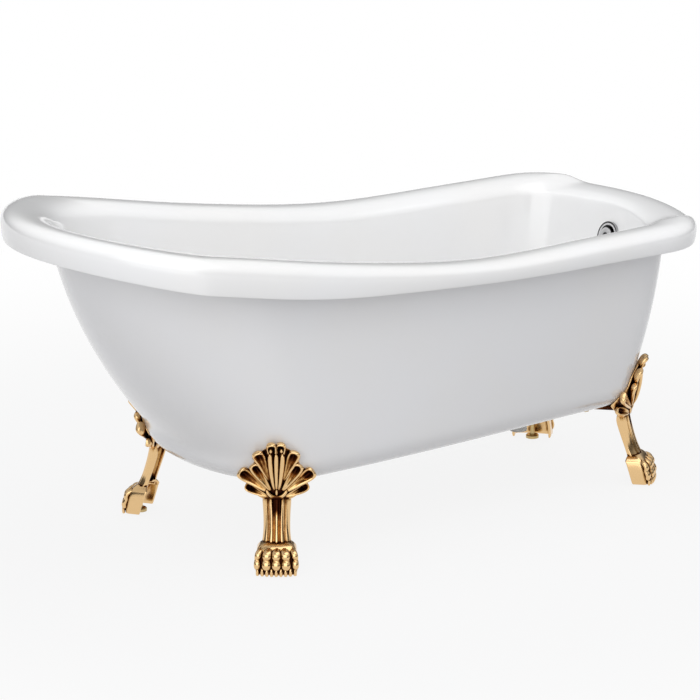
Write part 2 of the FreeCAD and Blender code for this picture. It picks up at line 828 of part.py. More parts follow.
def paw_hollow():
    length, width, wall = size("paw_length"), size("paw_width"), size("casting_wall")
    room = Part.makeBox(length, width - 2 * wall, size("paw_height") - wall,
                        Vector(-length / 2 - wall, wall - width / 2, 0))
    boss = Part.makeCylinder(size("leveller_boss_radius"), size("paw_height"),
                             Vector(0, 0, size("leveller_pad_height") + size("leveller_travel")))
    return room.cut(boss)


def lug():
    half, thick = size("lug_half_width"), size("lug_thickness")
    start = -size("lug_bolt_setback") - size("lug_margin")
    block = Part.makeBox(-start - size("neck_setback"), 2 * half, thick,
                         Vector(start, -half, size("ground_clearance") - thick))
    rear = [e for e in upright_edges(block) if e.BoundBox.XMax < start + thick]
    return block.makeFillet(thick, rear)


def near_foot(end, envelope, cover):
    """The foot on the near side of one end of the tub."""
    frame = foot_frame(end, -1)
    room, plate_room = envelope.copy(), cover.copy()
    room.Placement = plate_room.Placement = frame.inverse()
    palmette = union([part.cut(room) for part in [palmette_plate(plate_room)] + palmette_flutes(frame)])
    leg = union(paw() + [shank()]).cut([paw_hollow(), shank_hollow()])
    screw_room = size("leveller_length") + size("thread_runout")
    screw = Part.makeCylinder(size("leveller_screw_radius") + size("running_gap"), screw_room)
    body = union([leg, palmette, lug()]).cut(screw)
    body.Placement = frame
    return body.cut(bolt_holes(size("bolt_gap"))).removeSplitter()


def make_feet():
    clearance = size("skirt_clearance")
    envelope, cover = skirt_envelope(clearance), skirt_envelope(clearance + size("palmette_thickness"))
    feet = []
    for end, name in ((-1, "left"), (1, "right")):
        near = near_foot(end, envelope, cover)
        feet.append(feature("claw_foot_front_" + name, near))
        feet.append(feature("claw_foot_back_" + name, near.mirror(Vector(), Vector(0, 1, 0))))
    return feet


# Turned fittings. Each stands on the Z axis of its own frame, and its lengths are bound to the sheet.

def bind(obj, prop, formula):
    obj.setExpression(prop, re.sub("[a-z][a-z_]+", r"Sizes.\g<0>", formula))


def step(name, radius, start, end):
    """An upright step of a turned piece."""
    obj = doc.addObject("Part::Cylinder", name)
    bind(obj, "Radius", radius)
    bind(obj, "Height", f"{end} - ({start})")
    bind(obj, "Placement.Base.z", start)
    return obj


def taper(name, radius, end_radius, start, end):
    """A step whose radius changes on the way up."""
    obj = doc.addObject("Part::Cone", name)
    bind(obj, "Radius1", radius)
    bind(obj, "Radius2", end_radius)
    bind(obj, "Height", f"{end} - ({start})")
    bind(obj, "Placement.Base.z", start)
    return obj


def branch(name, radius, start, end, level, side="0", towards=1):
    """A step that lies along the frame's X axis."""
    obj = doc.addObject("Part::Cylinder", name)
    obj.Placement = Placement(Vector(), Rotation(Vector(0, 0, 1), Vector(towards, 0, 0)))
    bind(obj, "Radius", radius)
    bind(obj, "Height", f"{end} - ({start})")
    bind(obj, "Placement.Base.x", f"{towards} * ({start})")
    bind(obj, "Placement.Base.y", side)
    bind(obj, "Placement.Base.z", level)
    return obj


def bar(name, length, width, start, end):
    """A flat bar across the frame's axis."""
    obj = doc.addObject("Part::Box", name)
    bind(obj, "Length", length)
    bind(obj, "Width", width)
    bind(obj, "Height", f"{end} - ({start})")
    bind(obj, "Placement.Base.x", f"-({length}) / 2")
    bind(obj, "Placement.Base.y", f"-({width}) / 2")
    bind(obj, "Placement.Base.z", start)
    return obj


def hexagon(name, radius, start, end):
    obj = doc.addObject("Part::Prism", name)
    obj.Polygon = 6
    bind(obj, "Circumradius", radius)
    bind(obj, "Height", f"{end} - ({start})")
    bind(obj, "Placement.Base.z", start)
    return obj


def joined(name, solids):
    if len(solids) == 1:
        return solids[0]
    obj = doc.addObject("Part::MultiFuse", name)
    obj.Shapes = solids
    return obj


def spared(name, room, kept):
    """A room to cut out, without what is kept in it."""
    obj = doc.addObject("Part::Cut", name)
    obj.Base = room
    obj.Tool = joined(name + "_kept", kept)
    return obj


def placed(obj, label, frame):
    obj.Label = label
    doc.recompute()
    obj.Placement = frame
    return obj


def turned(label, frame, solids, bores):
    obj = doc.addObject("Part::Cut", label)
    obj.Base = joined(label + "_solids", solids)
    obj.Tool = joined(label + "_bores", bores)
    obj.Refine = True
    return placed(obj, label, frame)


# Heights on the waste's axis, from the floor's upper face
GASKET_TOP = "-basin_wall"
WASTE_TOP = f"{GASKET_TOP} - gasket_thickness"
WASTE_FOOT = f"{WASTE_TOP} - waste_depth"
SOCKET_TOP = f"{WASTE_FOOT} + outlet_insertion"
BRANCH_LEVEL = f"{WASTE_TOP} - branch_drop"
FLANGE_TOP = "washer_thickness + flange_thickness"
GUIDE_TOP = "-spigot_length / 2"
GUIDE_FOOT = f"{GUIDE_TOP} - guide_height"
THROAT_FOOT = "-spigot_length - waste_wall"
# The outlet's tail is slimmer where the nut holds it than on its free end
SHOULDER_RADIUS = "(outlet_radius - outlet_relief)"


def make_waste():
    washer = turned("flange_washer", DRAIN,
                    [step("washer_disc", "flange_radius - washer_inset", "0", "washer_thickness")],
                    [step("washer_hole", "spigot_radius + bond_gap", "0", "washer_thickness")])
    cross = [bar("guide_bar", "2 * spigot_radius", "guide_width", GUIDE_FOOT, GUIDE_TOP),
             bar("guide_cross_bar", "guide_width", "2 * spigot_radius", GUIDE_FOOT, GUIDE_TOP),
             step("guide_hub", "guide_radius", GUIDE_FOOT, GUIDE_TOP)]
    flange_room = step("flange_room", "flange_bore", "-spigot_length", FLANGE_TOP)
    flange = turned("drain_flange", DRAIN,
                    [step("flange_disc", "flange_radius", "washer_thickness", FLANGE_TOP),
                     step("flange_spigot", "spigot_radius", "-spigot_length", FLANGE_TOP)],
                    [spared("flange_way", flange_room, cross),
                     step("guide_hole", "plug_stem_radius + running_gap", GUIDE_FOOT, GUIDE_TOP)])
    gasket = turned("waste_gasket", DRAIN,
                    [step("gasket_disc", "waste_rim_radius", WASTE_TOP, GASKET_TOP)],
                    [step("gasket_hole", "drain_hole / 2", WASTE_TOP, GASKET_TOP)])
    body = turned("waste_body", DRAIN,
                  [step("waste_rim", "waste_rim_radius", f"{WASTE_TOP} - waste_rim_thickness", WASTE_TOP),
                   step("waste_cup", "waste_radius", WASTE_FOOT, WASTE_TOP),
                   branch("waste_branch", "hose_radius - hose_wall - thread_gap", "0", "branch_reach",
                          BRANCH_LEVEL),
                   branch("waste_gland", "gland_radius", "0", "branch_reach", BRANCH_LEVEL, "cable_side")],
                  [step("waste_throat", "spigot_radius + thread_gap", THROAT_FOOT, WASTE_TOP),
                   step("waste_room", "waste_radius - waste_wall", f"{SOCKET_TOP} + waste_wall", THROAT_FOOT),
                   step("waste_neck", "outlet_radius - outlet_wall", SOCKET_TOP, f"{SOCKET_TOP} + waste_wall"),
                   step("waste_socket", f"{SHOULDER_RADIUS} + thread_gap", WASTE_FOOT, SOCKET_TOP),
                   branch("branch_room", "hose_radius - hose_wall - branch_wall", "0", "branch_reach",
                          BRANCH_LEVEL),
                   branch("gland_hole", "cable_radius + running_gap", "branch_reach - gland_depth",
                          "branch_reach", BRANCH_LEVEL, "cable_side")])
    pipe_foot = f"{SOCKET_TOP} - outlet_length"
    nut_foot = f"{WASTE_FOOT} - outlet_nut_height"
    shoulder_foot = f"{nut_foot} - outlet_groove"
    pipe = turned("outlet_tail", DRAIN,
                  [step("tail_shoulder", SHOULDER_RADIUS, shoulder_foot, SOCKET_TOP),
                   step("tail_pipe", "outlet_radius", pipe_foot, shoulder_foot)],
                  [step("tail_room", "outlet_radius - outlet_wall", pipe_foot, SOCKET_TOP)])
    nut = turned("outlet_nut", DRAIN, [hexagon("outlet_nut_blank", "outlet_nut_radius", nut_foot, WASTE_FOOT)],
                 [step("outlet_nut_hole", f"{SHOULDER_RADIUS} + thread_gap", nut_foot, WASTE_FOOT)])
    return [washer, flange, gasket, body, pipe, nut]


def make_plug():
    seal_foot = f"{FLANGE_TOP} + seat_gap"
    seal_top = f"{seal_foot} + plug_seal_thickness"
    edge_top = f"{seal_top} + plug_edge"
    stem_foot = f"{seal_top} - plug_stem_length"
    cap = turned("plug_cap", DRAIN,
                 [step("plug_disc", "plug_radius", seal_top, edge_top),
                  taper("plug_dome", "plug_radius", "plug_crown_radius", edge_top,
                        f"{seal_top} + plug_thickness")],
                 [step("plug_socket", "plug_stem_radius + thread_gap", seal_top, edge_top)])
    seal = turned("plug_seal", DRAIN, [step("seal_disc", "plug_seal_radius", seal_foot, seal_top)],
                  [step("seal_hole", "plug_stem_radius + thread_gap", seal_foot, seal_top)])
    stem = turned("plug_stem", DRAIN, [step("stem_rod", "plug_stem_radius", stem_foot, edge_top)],
                  [branch("stem_eye", "stem_eye_radius", "-plug_stem_radius", "plug_stem_radius",
                          f"{stem_foot} + 2 * stem_eye_radius")])
    return [cap, seal, stem]


# Depths on the overflow's axis, from the wall's inner face
RING_FOOT = "-spot_face"
RING_WEB = f"{RING_FOOT} + overflow_web"
RING_TOP = f"{RING_FOOT} + overflow_ring_depth"
TUBE_END = f"{RING_FOOT} - overflow_tube_length"
WALL_BACK = "spot_face - basin_wall"
BODY_TOP = f"{WALL_BACK} - overflow_gasket_thickness"
BODY_SHOULDER = f"{BODY_TOP} - overflow_flange"
BODY_END = f"{BODY_TOP} - overflow_body_depth"
ROOM_END = f"{BODY_END} + waste_wall"
BUSH_TOP = f"{BODY_END} + overflow_bush"
SPOUT_LEVEL = f"({BODY_SHOULDER} + {BODY_END}) / 2"
CUP_RADIUS = "overflow_tube_radius + thread_gap + waste_wall"
SPOUT_REACH = f"{CUP_RADIUS} + spout_length"


def make_overflow():
    ring = turned("overflow_ring", SEAT,
                  [step("ring_disc", "overflow_ring_radius", RING_FOOT, RING_TOP),
                   step("ring_tube", "overflow_tube_radius", TUBE_END, RING_FOOT)],
                  [step("ring_room", "overflow_ring_bore", RING_WEB, RING_TOP),
                   step("tube_room", "overflow_tube_radius - overflow_tube_wall", TUBE_END, RING_WEB)])
    gasket = turned("overflow_gasket", SEAT,
                    [step("overflow_gasket_disc", "overflow_body_radius", BODY_TOP, WALL_BACK)],
                    [step("overflow_gasket_hole", "overflow_tube_radius + bond_gap", BODY_TOP, WALL_BACK)])
    room = step("overflow_room", "overflow_tube_radius + thread_gap", ROOM_END, BODY_TOP)
    bush = step("overflow_bush", "overflow_bush_radius", ROOM_END, BUSH_TOP)
    body = turned("overflow_body", SEAT,
                  [step("overflow_rim", "overflow_body_radius", BODY_SHOULDER, BODY_TOP),
                   step("overflow_cup", CUP_RADIUS, BODY_END, BODY_TOP),
                   branch("overflow_spout", "hose_radius - hose_wall - thread_gap", "0", SPOUT_REACH,
                          SPOUT_LEVEL, "0", -1),
                   branch("overflow_gland", "gland_radius", "0", SPOUT_REACH, SPOUT_LEVEL, "cable_side", -1)],
                  [spared("overflow_way", room, [bush]),
                   step("shaft_hole", "overflow_shaft_radius + running_gap", ROOM_END, BUSH_TOP),
                   branch("spout_room", "hose_radius - hose_wall - branch_wall", "overflow_bush_radius",
                          SPOUT_REACH, SPOUT_LEVEL, "0", -1),
                   branch("overflow_gland_hole", "cable_radius + running_gap", f"{SPOUT_REACH} - gland_depth",
                          SPOUT_REACH, SPOUT_LEVEL, "cable_side", -1)])
    knob_foot = f"{RING_WEB} + seat_gap"
    knob_top = f"{knob_foot} + overflow_knob_depth"
    knob_edge = f"{knob_top} - knob_edge"
    knob = turned("overflow_knob", SEAT,
                  [step("knob_disc", "overflow_knob_radius", knob_foot, knob_edge),
                   taper("knob_face", "overflow_knob_radius", "overflow_knob_radius - knob_edge", knob_edge,
                         knob_top),
                   step("knob_shaft", "overflow_shaft_radius", f"{ROOM_END} + seat_gap", knob_foot)],
                  [step("knob_dimple", "overflow_shaft_radius", knob_edge, knob_top)])
    return [ring, gasket, body, knob]


# The hose and the cable run down behind the tail wall, bend under the skirt and run in to the waste.

def spout_level():
    body_top = size("spot_face") - size("basin_wall") - size("overflow_gasket_thickness")
    return body_top - (size("overflow_flange") + size("overflow_body_depth")) / 2


def spout_reach():
    cup = size("overflow_tube_radius") + size("thread_gap") + size("waste_wall")
    return cup + size("spout_length")


BRANCH_HEIGHT = FLOOR_TOP - size("basin_wall") - size("gasket_thickness") - size("branch_drop")


def service_run(side, overlap):
    """A path from the overflow's spout to the waste's branch, with its ends inside both."""
    start = at_seat(spout_level(), overlap - spout_reach(), side)
    down = SEAT.Rotation.multVec(Vector(-1, 0, 0))
    corner = start + down * ((start.z - BRANCH_HEIGHT) / -down.z)
    end = Vector(DRAIN.Base.x + size("branch_reach") - overlap, side, BRANCH_HEIGHT)
    level = Vector(-1, 0, 0)
    half_turn = down.getAngle(level) / 2
    lead = size("hose_bend") * math.tan(half_turn)
    first, last = corner - down * lead, corner + level * lead
    inward = (level - down).normalize()
    middle = corner + inward * (size("hose_bend") / math.cos(half_turn) - size("hose_bend"))
    return Part.Wire([Part.LineSegment(start, first).toShape(), Part.Arc(first, middle, last).toShape(),
                      Part.LineSegment(last, end).toShape()]), start, down


def swept(path, start, along, radius):
    circle = Part.Wire([Part.Circle(start, along, radius).toShape()])
    return path.makePipeShell([circle], True, False)


def make_hose():
    path, start, down = service_run(0, size("hose_nut_length"))
    outer = swept(path, start, down, size("hose_radius"))
    return feature("overflow_hose", outer.cut(swept(path, start, down, size("hose_radius") - size("hose_wall"))))


def make_cable():
    path, start, down = service_run(size("cable_side"), size("gland_depth") - size("seat_gap"))
    return feature("control_cable", swept(path, start, down, size("cable_radius")))


def group(label, master, frames):
    """Copies of one piece, as separate solids."""
    copies = []
    for frame in frames:
        copy = master.Shape.copy()
        copy.Placement = frame
        copies.append(copy)
    return feature(label, Part.makeCompound(copies))


def make_hose_nuts():
    nut = turned("hose_nut", Placement(), [step("hose_nut_ring", "hose_nut_radius", "0", "hose_nut_length")],
                 [step("hose_nut_hole", "hose_radius + thread_gap", "0", "hose_nut_length")])
    path, start, down = service_run(0, size("hose_nut_length"))
    waste_end = Vector(DRAIN.Base.x + size("branch_reach") - size("hose_nut_length"), 0, BRANCH_HEIGHT)
    return group("hose_nuts", nut, [Placement(start, Rotation(Vector(0, 0, 1), down)),
                                    Placement(waste_end, Rotation(Vector(0, 0, 1), Vector(1, 0, 0)))])


def make_fasteners():
    washer_foot = "-bolt_washer_thickness"
    head_foot = f"{washer_foot} - bolt_head_height"
    shank_top = "lug_thickness + skirt_wall + board_thickness - bolt_gap"
    lug_foot = size("ground_clearance") - size("lug_thickness")
    board_top = GROUND_TO_BOARD + size("board_thickness")
    below = [Placement(place + Vector(0, 0, lug_foot), Rotation()) for place in bolt_places()]
    above = [Placement(place + Vector(0, 0, board_top), Rotation()) for place in bolt_places()]
    bolt = placed(joined("foot_bolt_solids", [hexagon("bolt_head", "bolt_head_radius", head_foot, washer_foot),
                                              step("bolt_shank", "bolt_radius", head_foot, shank_top)]),
                  "foot_bolt", Placement())
    washer = turned("foot_washer", Placement(), [step("bolt_washer", "bolt_washer_radius", washer_foot, "0")],
                    [step("bolt_washer_hole", "bolt_radius + bolt_gap", washer_foot, "0")])
    tee_top = "-thread_gap"
    tee_seat = f"{tee_top} - tee_flange_thickness"
    tee_nut = turned("tee_nut", Placement(),
                     [step("tee_flange", "tee_flange_radius", tee_seat, tee_top),
                      step("tee_barrel", "bolt_radius + thread_gap + tee_wall", "-board_thickness", tee_top)],
                     [step("tee_hole", "bolt_radius + thread_gap", "-board_thickness", tee_top)])
    return [group("foot_bolts", bolt, below), group("foot_washers", washer, below),
            group("tee_nuts", tee_nut, above)]


def make_leveller(name, end, side):
    solids = [step("leveller_pad", "leveller_pad_radius", "0", "leveller_pad_height - leveller_pad_edge"),
              taper("leveller_edge", "leveller_pad_radius", "leveller_pad_radius - leveller_pad_edge",
                    "leveller_pad_height - leveller_pad_edge", "leveller_pad_height"),
              step("leveller_screw", "leveller_screw_radius", "0", "leveller_length")]
    return placed(joined("leveller_solids", solids), "leveller_" + name, foot_frame(end, side))


pieces = [make_basin(), make_skirt(), make_board()] + make_feet()
pieces += [make_leveller(name, end, side) for name, end, side in FEET]
pieces += make_waste() + make_plug() + make_overflow()
pieces += [make_hose(), make_hose_nuts(), make_cable()] + make_fasteners()

doc.recompute()
for obj in doc.Objects:
    if "Invalid" in obj.State or "Error" in obj.State:
        raise RuntimeError(f"{obj.Label} did not build: {obj.State}")
os.makedirs("parts", exist_ok=True)
for piece in pieces:
    if piece.Shape.isNull() or not piece.Shape.isValid():
        raise RuntimeError(f"{piece.Label} is not a valid solid")
    piece.Shape.exportStep("parts/" + piece.Label + ".step")
    print(piece.Label, len(piece.Shape.Solids), round(piece.Shape.Volume), piece.Shape.BoundBox)
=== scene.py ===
# %% [markdown]
# A slipper bath on claw feet, as a lesson in cells. The sizes, the bodies and the joints come from the packed
# model, and this file makes what the eye sees: smooth shells, cast feet and polished fittings.
# Every mesh is in metres and in the model's own frame, with the floor at z = 0 and the high end at -X.

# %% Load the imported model
import json
import math

import bmesh
import bpy
from mathutils import Matrix, Vector
from mathutils.bvhtree import BVHTree


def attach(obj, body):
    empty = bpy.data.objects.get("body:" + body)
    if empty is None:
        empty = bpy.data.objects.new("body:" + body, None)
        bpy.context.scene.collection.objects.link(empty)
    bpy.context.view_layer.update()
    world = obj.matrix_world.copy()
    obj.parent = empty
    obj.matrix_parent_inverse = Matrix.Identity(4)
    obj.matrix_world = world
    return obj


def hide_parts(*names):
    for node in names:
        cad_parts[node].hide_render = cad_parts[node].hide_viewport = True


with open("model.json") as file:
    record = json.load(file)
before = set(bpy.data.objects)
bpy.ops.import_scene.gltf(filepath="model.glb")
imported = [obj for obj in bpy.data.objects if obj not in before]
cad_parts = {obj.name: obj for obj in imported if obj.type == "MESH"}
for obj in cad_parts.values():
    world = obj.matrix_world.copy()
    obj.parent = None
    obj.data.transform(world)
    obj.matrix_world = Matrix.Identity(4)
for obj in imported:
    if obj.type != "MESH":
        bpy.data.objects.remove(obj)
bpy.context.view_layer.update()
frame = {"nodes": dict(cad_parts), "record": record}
scene = bpy.context.scene
scene.view_settings.view_transform = "Standard"

# %% [markdown]
# The camera comes first, because it decides how large each detail is in the picture. A long lens from far
# away keeps the rim's two sides nearly parallel, as in a catalogue picture. The bath is seen from its high
# end, a little from above.

# %% Camera
MM = 0.001
VIEW_TURN = math.radians(-35.2)
VIEW_RISE = math.radians(16.33)
VIEW_DISTANCE = 12.0
LENS, SENSOR, FAR_CLIP = 276.7, 36.0, 60.0
LOOK_AT = Vector((-0.0019, 0.0, 0.3755))

camera_data = bpy.data.cameras.new("studio_camera")
camera_data.lens = LENS
camera_data.sensor_width = SENSOR
camera_data.clip_end = FAR_CLIP
camera = bpy.data.objects.new("studio_camera", camera_data)
scene.collection.objects.link(camera)
back = Vector((math.sin(VIEW_TURN) * math.cos(VIEW_RISE), -math.cos(VIEW_TURN) * math.cos(VIEW_RISE),
               math.sin(VIEW_RISE)))
camera.location = LOOK_AT + back * VIEW_DISTANCE
camera.rotation_euler = back.to_track_quat("Z", "Y").to_euler()
scene.camera = camera
print("camera at", [round(c, 3) for c in camera.location])

# %% [markdown]
# Materials are written as expressions. Socket wraps one output of a node, so that 1 - mask or mask * 0.3 adds
# the Math node it needs. Paint holds one material: its node method adds any other node, settings first and
# then the values or links of its inputs.

# %% A small language for shaders
class Socket:
    def __init__(self, paint, output):
        self.paint = paint
        self.output = output

    def math(self, operation, other, swap=False):
        values = (other, self) if swap else (self, other)
        return self.paint.node("ShaderNodeMath", {"operation": operation}, dict(enumerate(values)))

    def __add__(self, other):
        return self.math("ADD", other)

    def __sub__(self, other):
        return self.math("SUBTRACT", other)

    def __rsub__(self, other):
        return self.math("SUBTRACT", other, True)

    def __mul__(self, other):
        return self.math("MULTIPLY", other)

    __radd__ = __add__
    __rmul__ = __mul__


class Paint:
    def __init__(self, name):
        self.material = bpy.data.materials.new(name)
        self.material.use_nodes = True
        self.tree = self.material.node_tree
        self.shader = self.tree.nodes["Principled BSDF"]

    def node(self, kind, settings, inputs, output=0):
        node = self.tree.nodes.new(kind)
        for name, value in settings.items():
            if name == "stops":
                while len(node.color_ramp.elements) < len(value):
                    node.color_ramp.elements.new(1.0)
                for element, (position, color) in zip(node.color_ramp.elements, value):
                    element.position = position
                    element.color = color
            else:
                setattr(node, name, value)
        for name, value in inputs.items():
            self.feed(node.inputs[name], value)
        return Socket(self, node.outputs[output])

    def feed(self, socket, value):
        if isinstance(value, Socket):
            self.tree.links.new(value.output, socket)
        else:
            socket.default_value = value

    def place(self):
        return self.node("ShaderNodeTexCoord", {}, {}, "Object")

    def noise(self, scale, detail=3.0, roughness=0.5):
        return self.node("ShaderNodeTexNoise", {}, {"Vector": self.place(), "Scale": scale, "Detail": detail,
                                                    "Roughness": roughness})

    def blend(self, mask, low, high):
        return self.node("ShaderNodeMix", {"data_type": "RGBA"}, {0: mask, 6: low, 7: high}, 2)

    def between(self, value, low, high, start=0.0, end=1.0):
        return self.node("ShaderNodeMapRange", {"interpolation_type": "SMOOTHSTEP"},
                         {"Value": value, "From Min": low, "From Max": high, "To Min": start, "To Max": end})

    def bump(self, height, distance, strength):
        return self.node("ShaderNodeBump", {}, {"Height": height, "Distance": distance, "Strength": strength})

    def set(self, **inputs):
        for name, value in inputs.items():
            label = name.replace("_", " ").title().replace("Ior", "IOR")
            self.feed(self.shader.inputs[label], value)
        return self.material


print("shader helpers ready")

# %% [markdown]
# Sanitary acrylic is a glossy white plastic. A camera sees almost no texture on it, only a faint waviness in
# the reflections and a slight change of gloss where it has been wiped. Both come from soft noise, kept very
# weak. The outer moulding gets a greyer copy of the same white, as painted shade, since it takes less light.

# %% White acrylic
WARMTH = (1.0, 0.995, 0.985)


def white_acrylic(name, color):
    paint = Paint(name)
    cloud = paint.noise(3.5, 2.0)
    warm = tuple(c * k for c, k in zip(color, WARMTH)) + (1.0,)
    wipe = paint.noise(9.0, 4.0, 0.6)
    ripple = paint.noise(26.0, 2.0)
    return paint.set(base_color=paint.blend(paint.between(cloud, 0.35, 0.65), color + (1.0,), warm),
                     roughness=paint.between(wipe, 0.3, 0.75, 0.10, 0.17),
                     normal=paint.bump(ripple, 0.0004, 0.25), coat_weight=0.35, coat_roughness=0.06)


ACRYLIC = white_acrylic("white_acrylic", (0.91, 0.91, 0.912))
# The skirt's copy is the same acrylic, darkened as painted shade.
SHADED_SKIRT_ACRYLIC = white_acrylic("white_acrylic_skirt_painted_shade", (0.82, 0.82, 0.83))
print("acrylic", ACRYLIC.name, SHADED_SKIRT_ACRYLIC.name)

# %% [markdown]
# The feet are castings with a polished gold plating. Their hollows get painted shade, a dark brown, and
# are a little duller, so the colour and the roughness follow a value stored on each point: 0 deep in a fold,
# 1 on a crest.

# %% Gold plating
GOLD_SHADED_TO_LIT = ((0.0, (0.035, 0.008, 0.003, 1)), (0.35, (0.20, 0.075, 0.020, 1)),
              (0.7, (0.52, 0.29, 0.095, 1)), (1.0, (0.80, 0.54, 0.27, 1)))
SHADED_AND_DULL_BELOW, LIT_AND_POLISHED_ABOVE, MOTTLE = 0.42, 0.90, 0.24


def gold_plating():
    paint = Paint("gold_plating")
    # Low crest values paint the folds dark brown as shade.
    crest = paint.node("ShaderNodeAttribute", {"attribute_name": "crest"}, {}, "Fac")
    mottle = paint.noise(120.0, 4.0, 0.6)
    shade_and_polish = paint.between(crest + (mottle - 0.5) * MOTTLE, SHADED_AND_DULL_BELOW, LIT_AND_POLISHED_ABOVE)
    grain = paint.noise(900.0, 2.0)
    color = paint.node("ShaderNodeValToRGB", {"stops": GOLD_SHADED_TO_LIT}, {"Fac": shade_and_polish})
    return paint.set(base_color=color, metallic=1.0, roughness=paint.between(shade_and_polish, 0.0, 1.0, 0.42, 0.16),
                     normal=paint.bump(grain, 0.0001, 0.15))


GOLD = gold_plating()
print("gold", GOLD.name)

# %% [markdown]
# Chrome inside a white tub mirrors little but white. The overflow is turned in steps, and what gives it away
# is the light and dark of its rings. Its material measures each point's distance from the axis that the knob
# turns on, and a ramp over that distance paints bright rings of reflection and dark rings of shade.

# %% Chrome and zinc
def bright_metal(name, color, low, high, scale):
    paint = Paint(name)
    haze = paint.noise(scale, 4.0, 0.6)
    dull = tuple(c * 0.86 for c in color) + (1.0,)
    tint = paint.blend(paint.between(haze, 0.3, 0.7), dull, color + (1.0,))
    return paint.set(base_color=tint, metallic=1.0, roughness=paint.between(haze, 0.25, 0.75, low, high))


CHROME = bright_metal("chrome_plating", (0.80, 0.81, 0.83), 0.05, 0.11, 60.0)
# Tones along the radius: painted reflections (light) and painted shade (dark), not the metal's own colour.
RING_REFLECTIONS_AND_SHADE = ((0.0, 0.04), (0.24, 0.04), (0.29, 0.50), (0.55, 0.60), (0.61, 0.02), (0.75, 0.02), (0.79, 0.72),
         (0.87, 0.62), (0.91, 0.04), (0.98, 0.06), (1.0, 0.40))
OVERFLOW_RADIUS = 35


def chrome_with_painted_rings(joint):
    """Chrome on a fitting turned around a joint's axis, with painted rings of reflection and shade, one for
    each step.
    """
    paint = Paint("chrome_with_painted_rings")
    arm = paint.node("ShaderNodeVectorMath", {"operation": "SUBTRACT"}, {0: paint.place(), 1: joint["pos_m"]})
    aside = paint.node("ShaderNodeVectorMath", {"operation": "CROSS_PRODUCT"}, {0: arm, 1: joint["axis"]})
    radius = paint.node("ShaderNodeVectorMath", {"operation": "LENGTH"}, {0: aside}, "Value")
    # The ring tones paint reflections and shade into the base colour.
    stops = [(place, (tone, tone, tone * 1.02, 1)) for place, tone in RING_REFLECTIONS_AND_SHADE]
    color = paint.node("ShaderNodeValToRGB", {"stops": stops}, {"Fac": radius * (1000 / OVERFLOW_RADIUS)})
    haze = paint.noise(60.0)
    return paint.set(base_color=color, metallic=1.0, roughness=paint.between(haze, 0.25, 0.75, 0.05, 0.11))


JOINTS = {joint["name"]: joint for joint in frame["record"]["behaviour"]["joints"]}
OVERFLOW = chrome_with_painted_rings(JOINTS["knob_turn"])
ZINC = bright_metal("yellow_zinc_plating", (0.62, 0.46, 0.22), 0.28, 0.42, 180.0)
print("metals", CHROME.name, OVERFLOW.name, ZINC.name)

# %% [markdown]
# What lies under the bath is plain: moulded plumbing plastic, black rubber, a dark hose and a resin-coated
# board. A fine grain in the roughness and a weak bump keep them from looking like one flat colour.

# %% Plastics, rubber and board
def moulded(name, color, rough, grain, depth):
    paint = Paint(name)
    speck = paint.noise(grain, 4.0, 0.65)
    dark = tuple(c * 0.82 for c in color) + (1.0,)
    return paint.set(base_color=paint.blend(paint.between(speck, 0.25, 0.75), dark, color + (1.0,)),
                     roughness=paint.between(speck, 0.2, 0.8, rough - 0.08, rough + 0.08),
                     normal=paint.bump(speck, depth, 0.4))


PLUMBING = moulded("plumbing_plastic", (0.74, 0.74, 0.72), 0.38, 400.0, 0.0001)
RUBBER = moulded("black_rubber", (0.03, 0.03, 0.03), 0.7, 700.0, 0.0002)
HOSE = moulded("hose_plastic", (0.09, 0.09, 0.10), 0.5, 300.0, 0.0002)
BOARD = moulded("resin_board", (0.50, 0.42, 0.32), 0.75, 220.0, 0.0006)
# Parts in white acrylic take the skirt's darker copy, with its painted shade.
FINISHES = {"white_acrylic": SHADED_SKIRT_ACRYLIC, "board": BOARD, "gold_casting": GOLD, "zinc_steel": ZINC,
            "black_rubber": RUBBER, "chrome_trim": CHROME, "plumbing_plastic": PLUMBING, "hose_plastic": HOSE}
SLOTS = {entry["node"]: entry["material_slot"] for entry in frame["record"]["subparts"]}
TURNED = {"overflow_ring": OVERFLOW, "overflow_knob": OVERFLOW}
for name, node in frame["nodes"].items():
    node.data.materials.clear()
    node.data.materials.append(TURNED.get(name, FINISHES[SLOTS[name]]))
print("dressed", len(frame["nodes"]), "nodes")

# %% [markdown]
# A catalogue picture has a white sweep. The floor glows for the camera and for mirrors, less under the bath
# than far from it, so that it reads as white and still takes a faint shadow. For the light that bounces off
# it, it stays a dull grey.

# %% Floor
FLOOR_COLOR = (0.50, 0.50, 0.51, 1)
GLOW_NEAR, GLOW_FAR, LEAST_GLOW = 0.9, 2.4, 0.88
bpy.ops.object.select_all(action="DESELECT")
bpy.ops.mesh.primitive_plane_add(size=60.0, location=(0, 0, 0))
floor = bpy.context.object
floor.name = "studio_floor"
paint = Paint("studio_floor")
paint.set(base_color=FLOOR_COLOR, roughness=0.9, specular_ior_level=0.0)
rays = paint.tree.nodes.new("ShaderNodeLightPath")
seen = Socket(paint, rays.outputs["Is Camera Ray"]) + Socket(paint, rays.outputs["Is Glossy Ray"])
glow = paint.node("ShaderNodeEmission", {}, {"Color": (1, 1, 1, 1), "Strength": 1.0})
far_away = paint.node("ShaderNodeVectorMath", {"operation": "LENGTH"}, {0: paint.place()}, "Value")
share = seen * paint.between(far_away, GLOW_NEAR, GLOW_FAR, LEAST_GLOW, 1.0)
mixed = paint.node("ShaderNodeMixShader", {}, {0: share, 1: Socket(paint, paint.shader.outputs[0]), 2: glow})
paint.tree.links.new(mixed.output, paint.tree.nodes["Material Output"].inputs["Surface"])
floor.data.materials.append(paint.material)
print("floor", floor.name)

# %% [markdown]
# The sky has three faces. The camera sees it white, the bath is lit by it evenly, and mirrors see it dark at
# the horizon and bright overhead, so that polished metal gets the contrast it has in a studio. Two large soft
# lamps, one above and one in front, shape the shells.

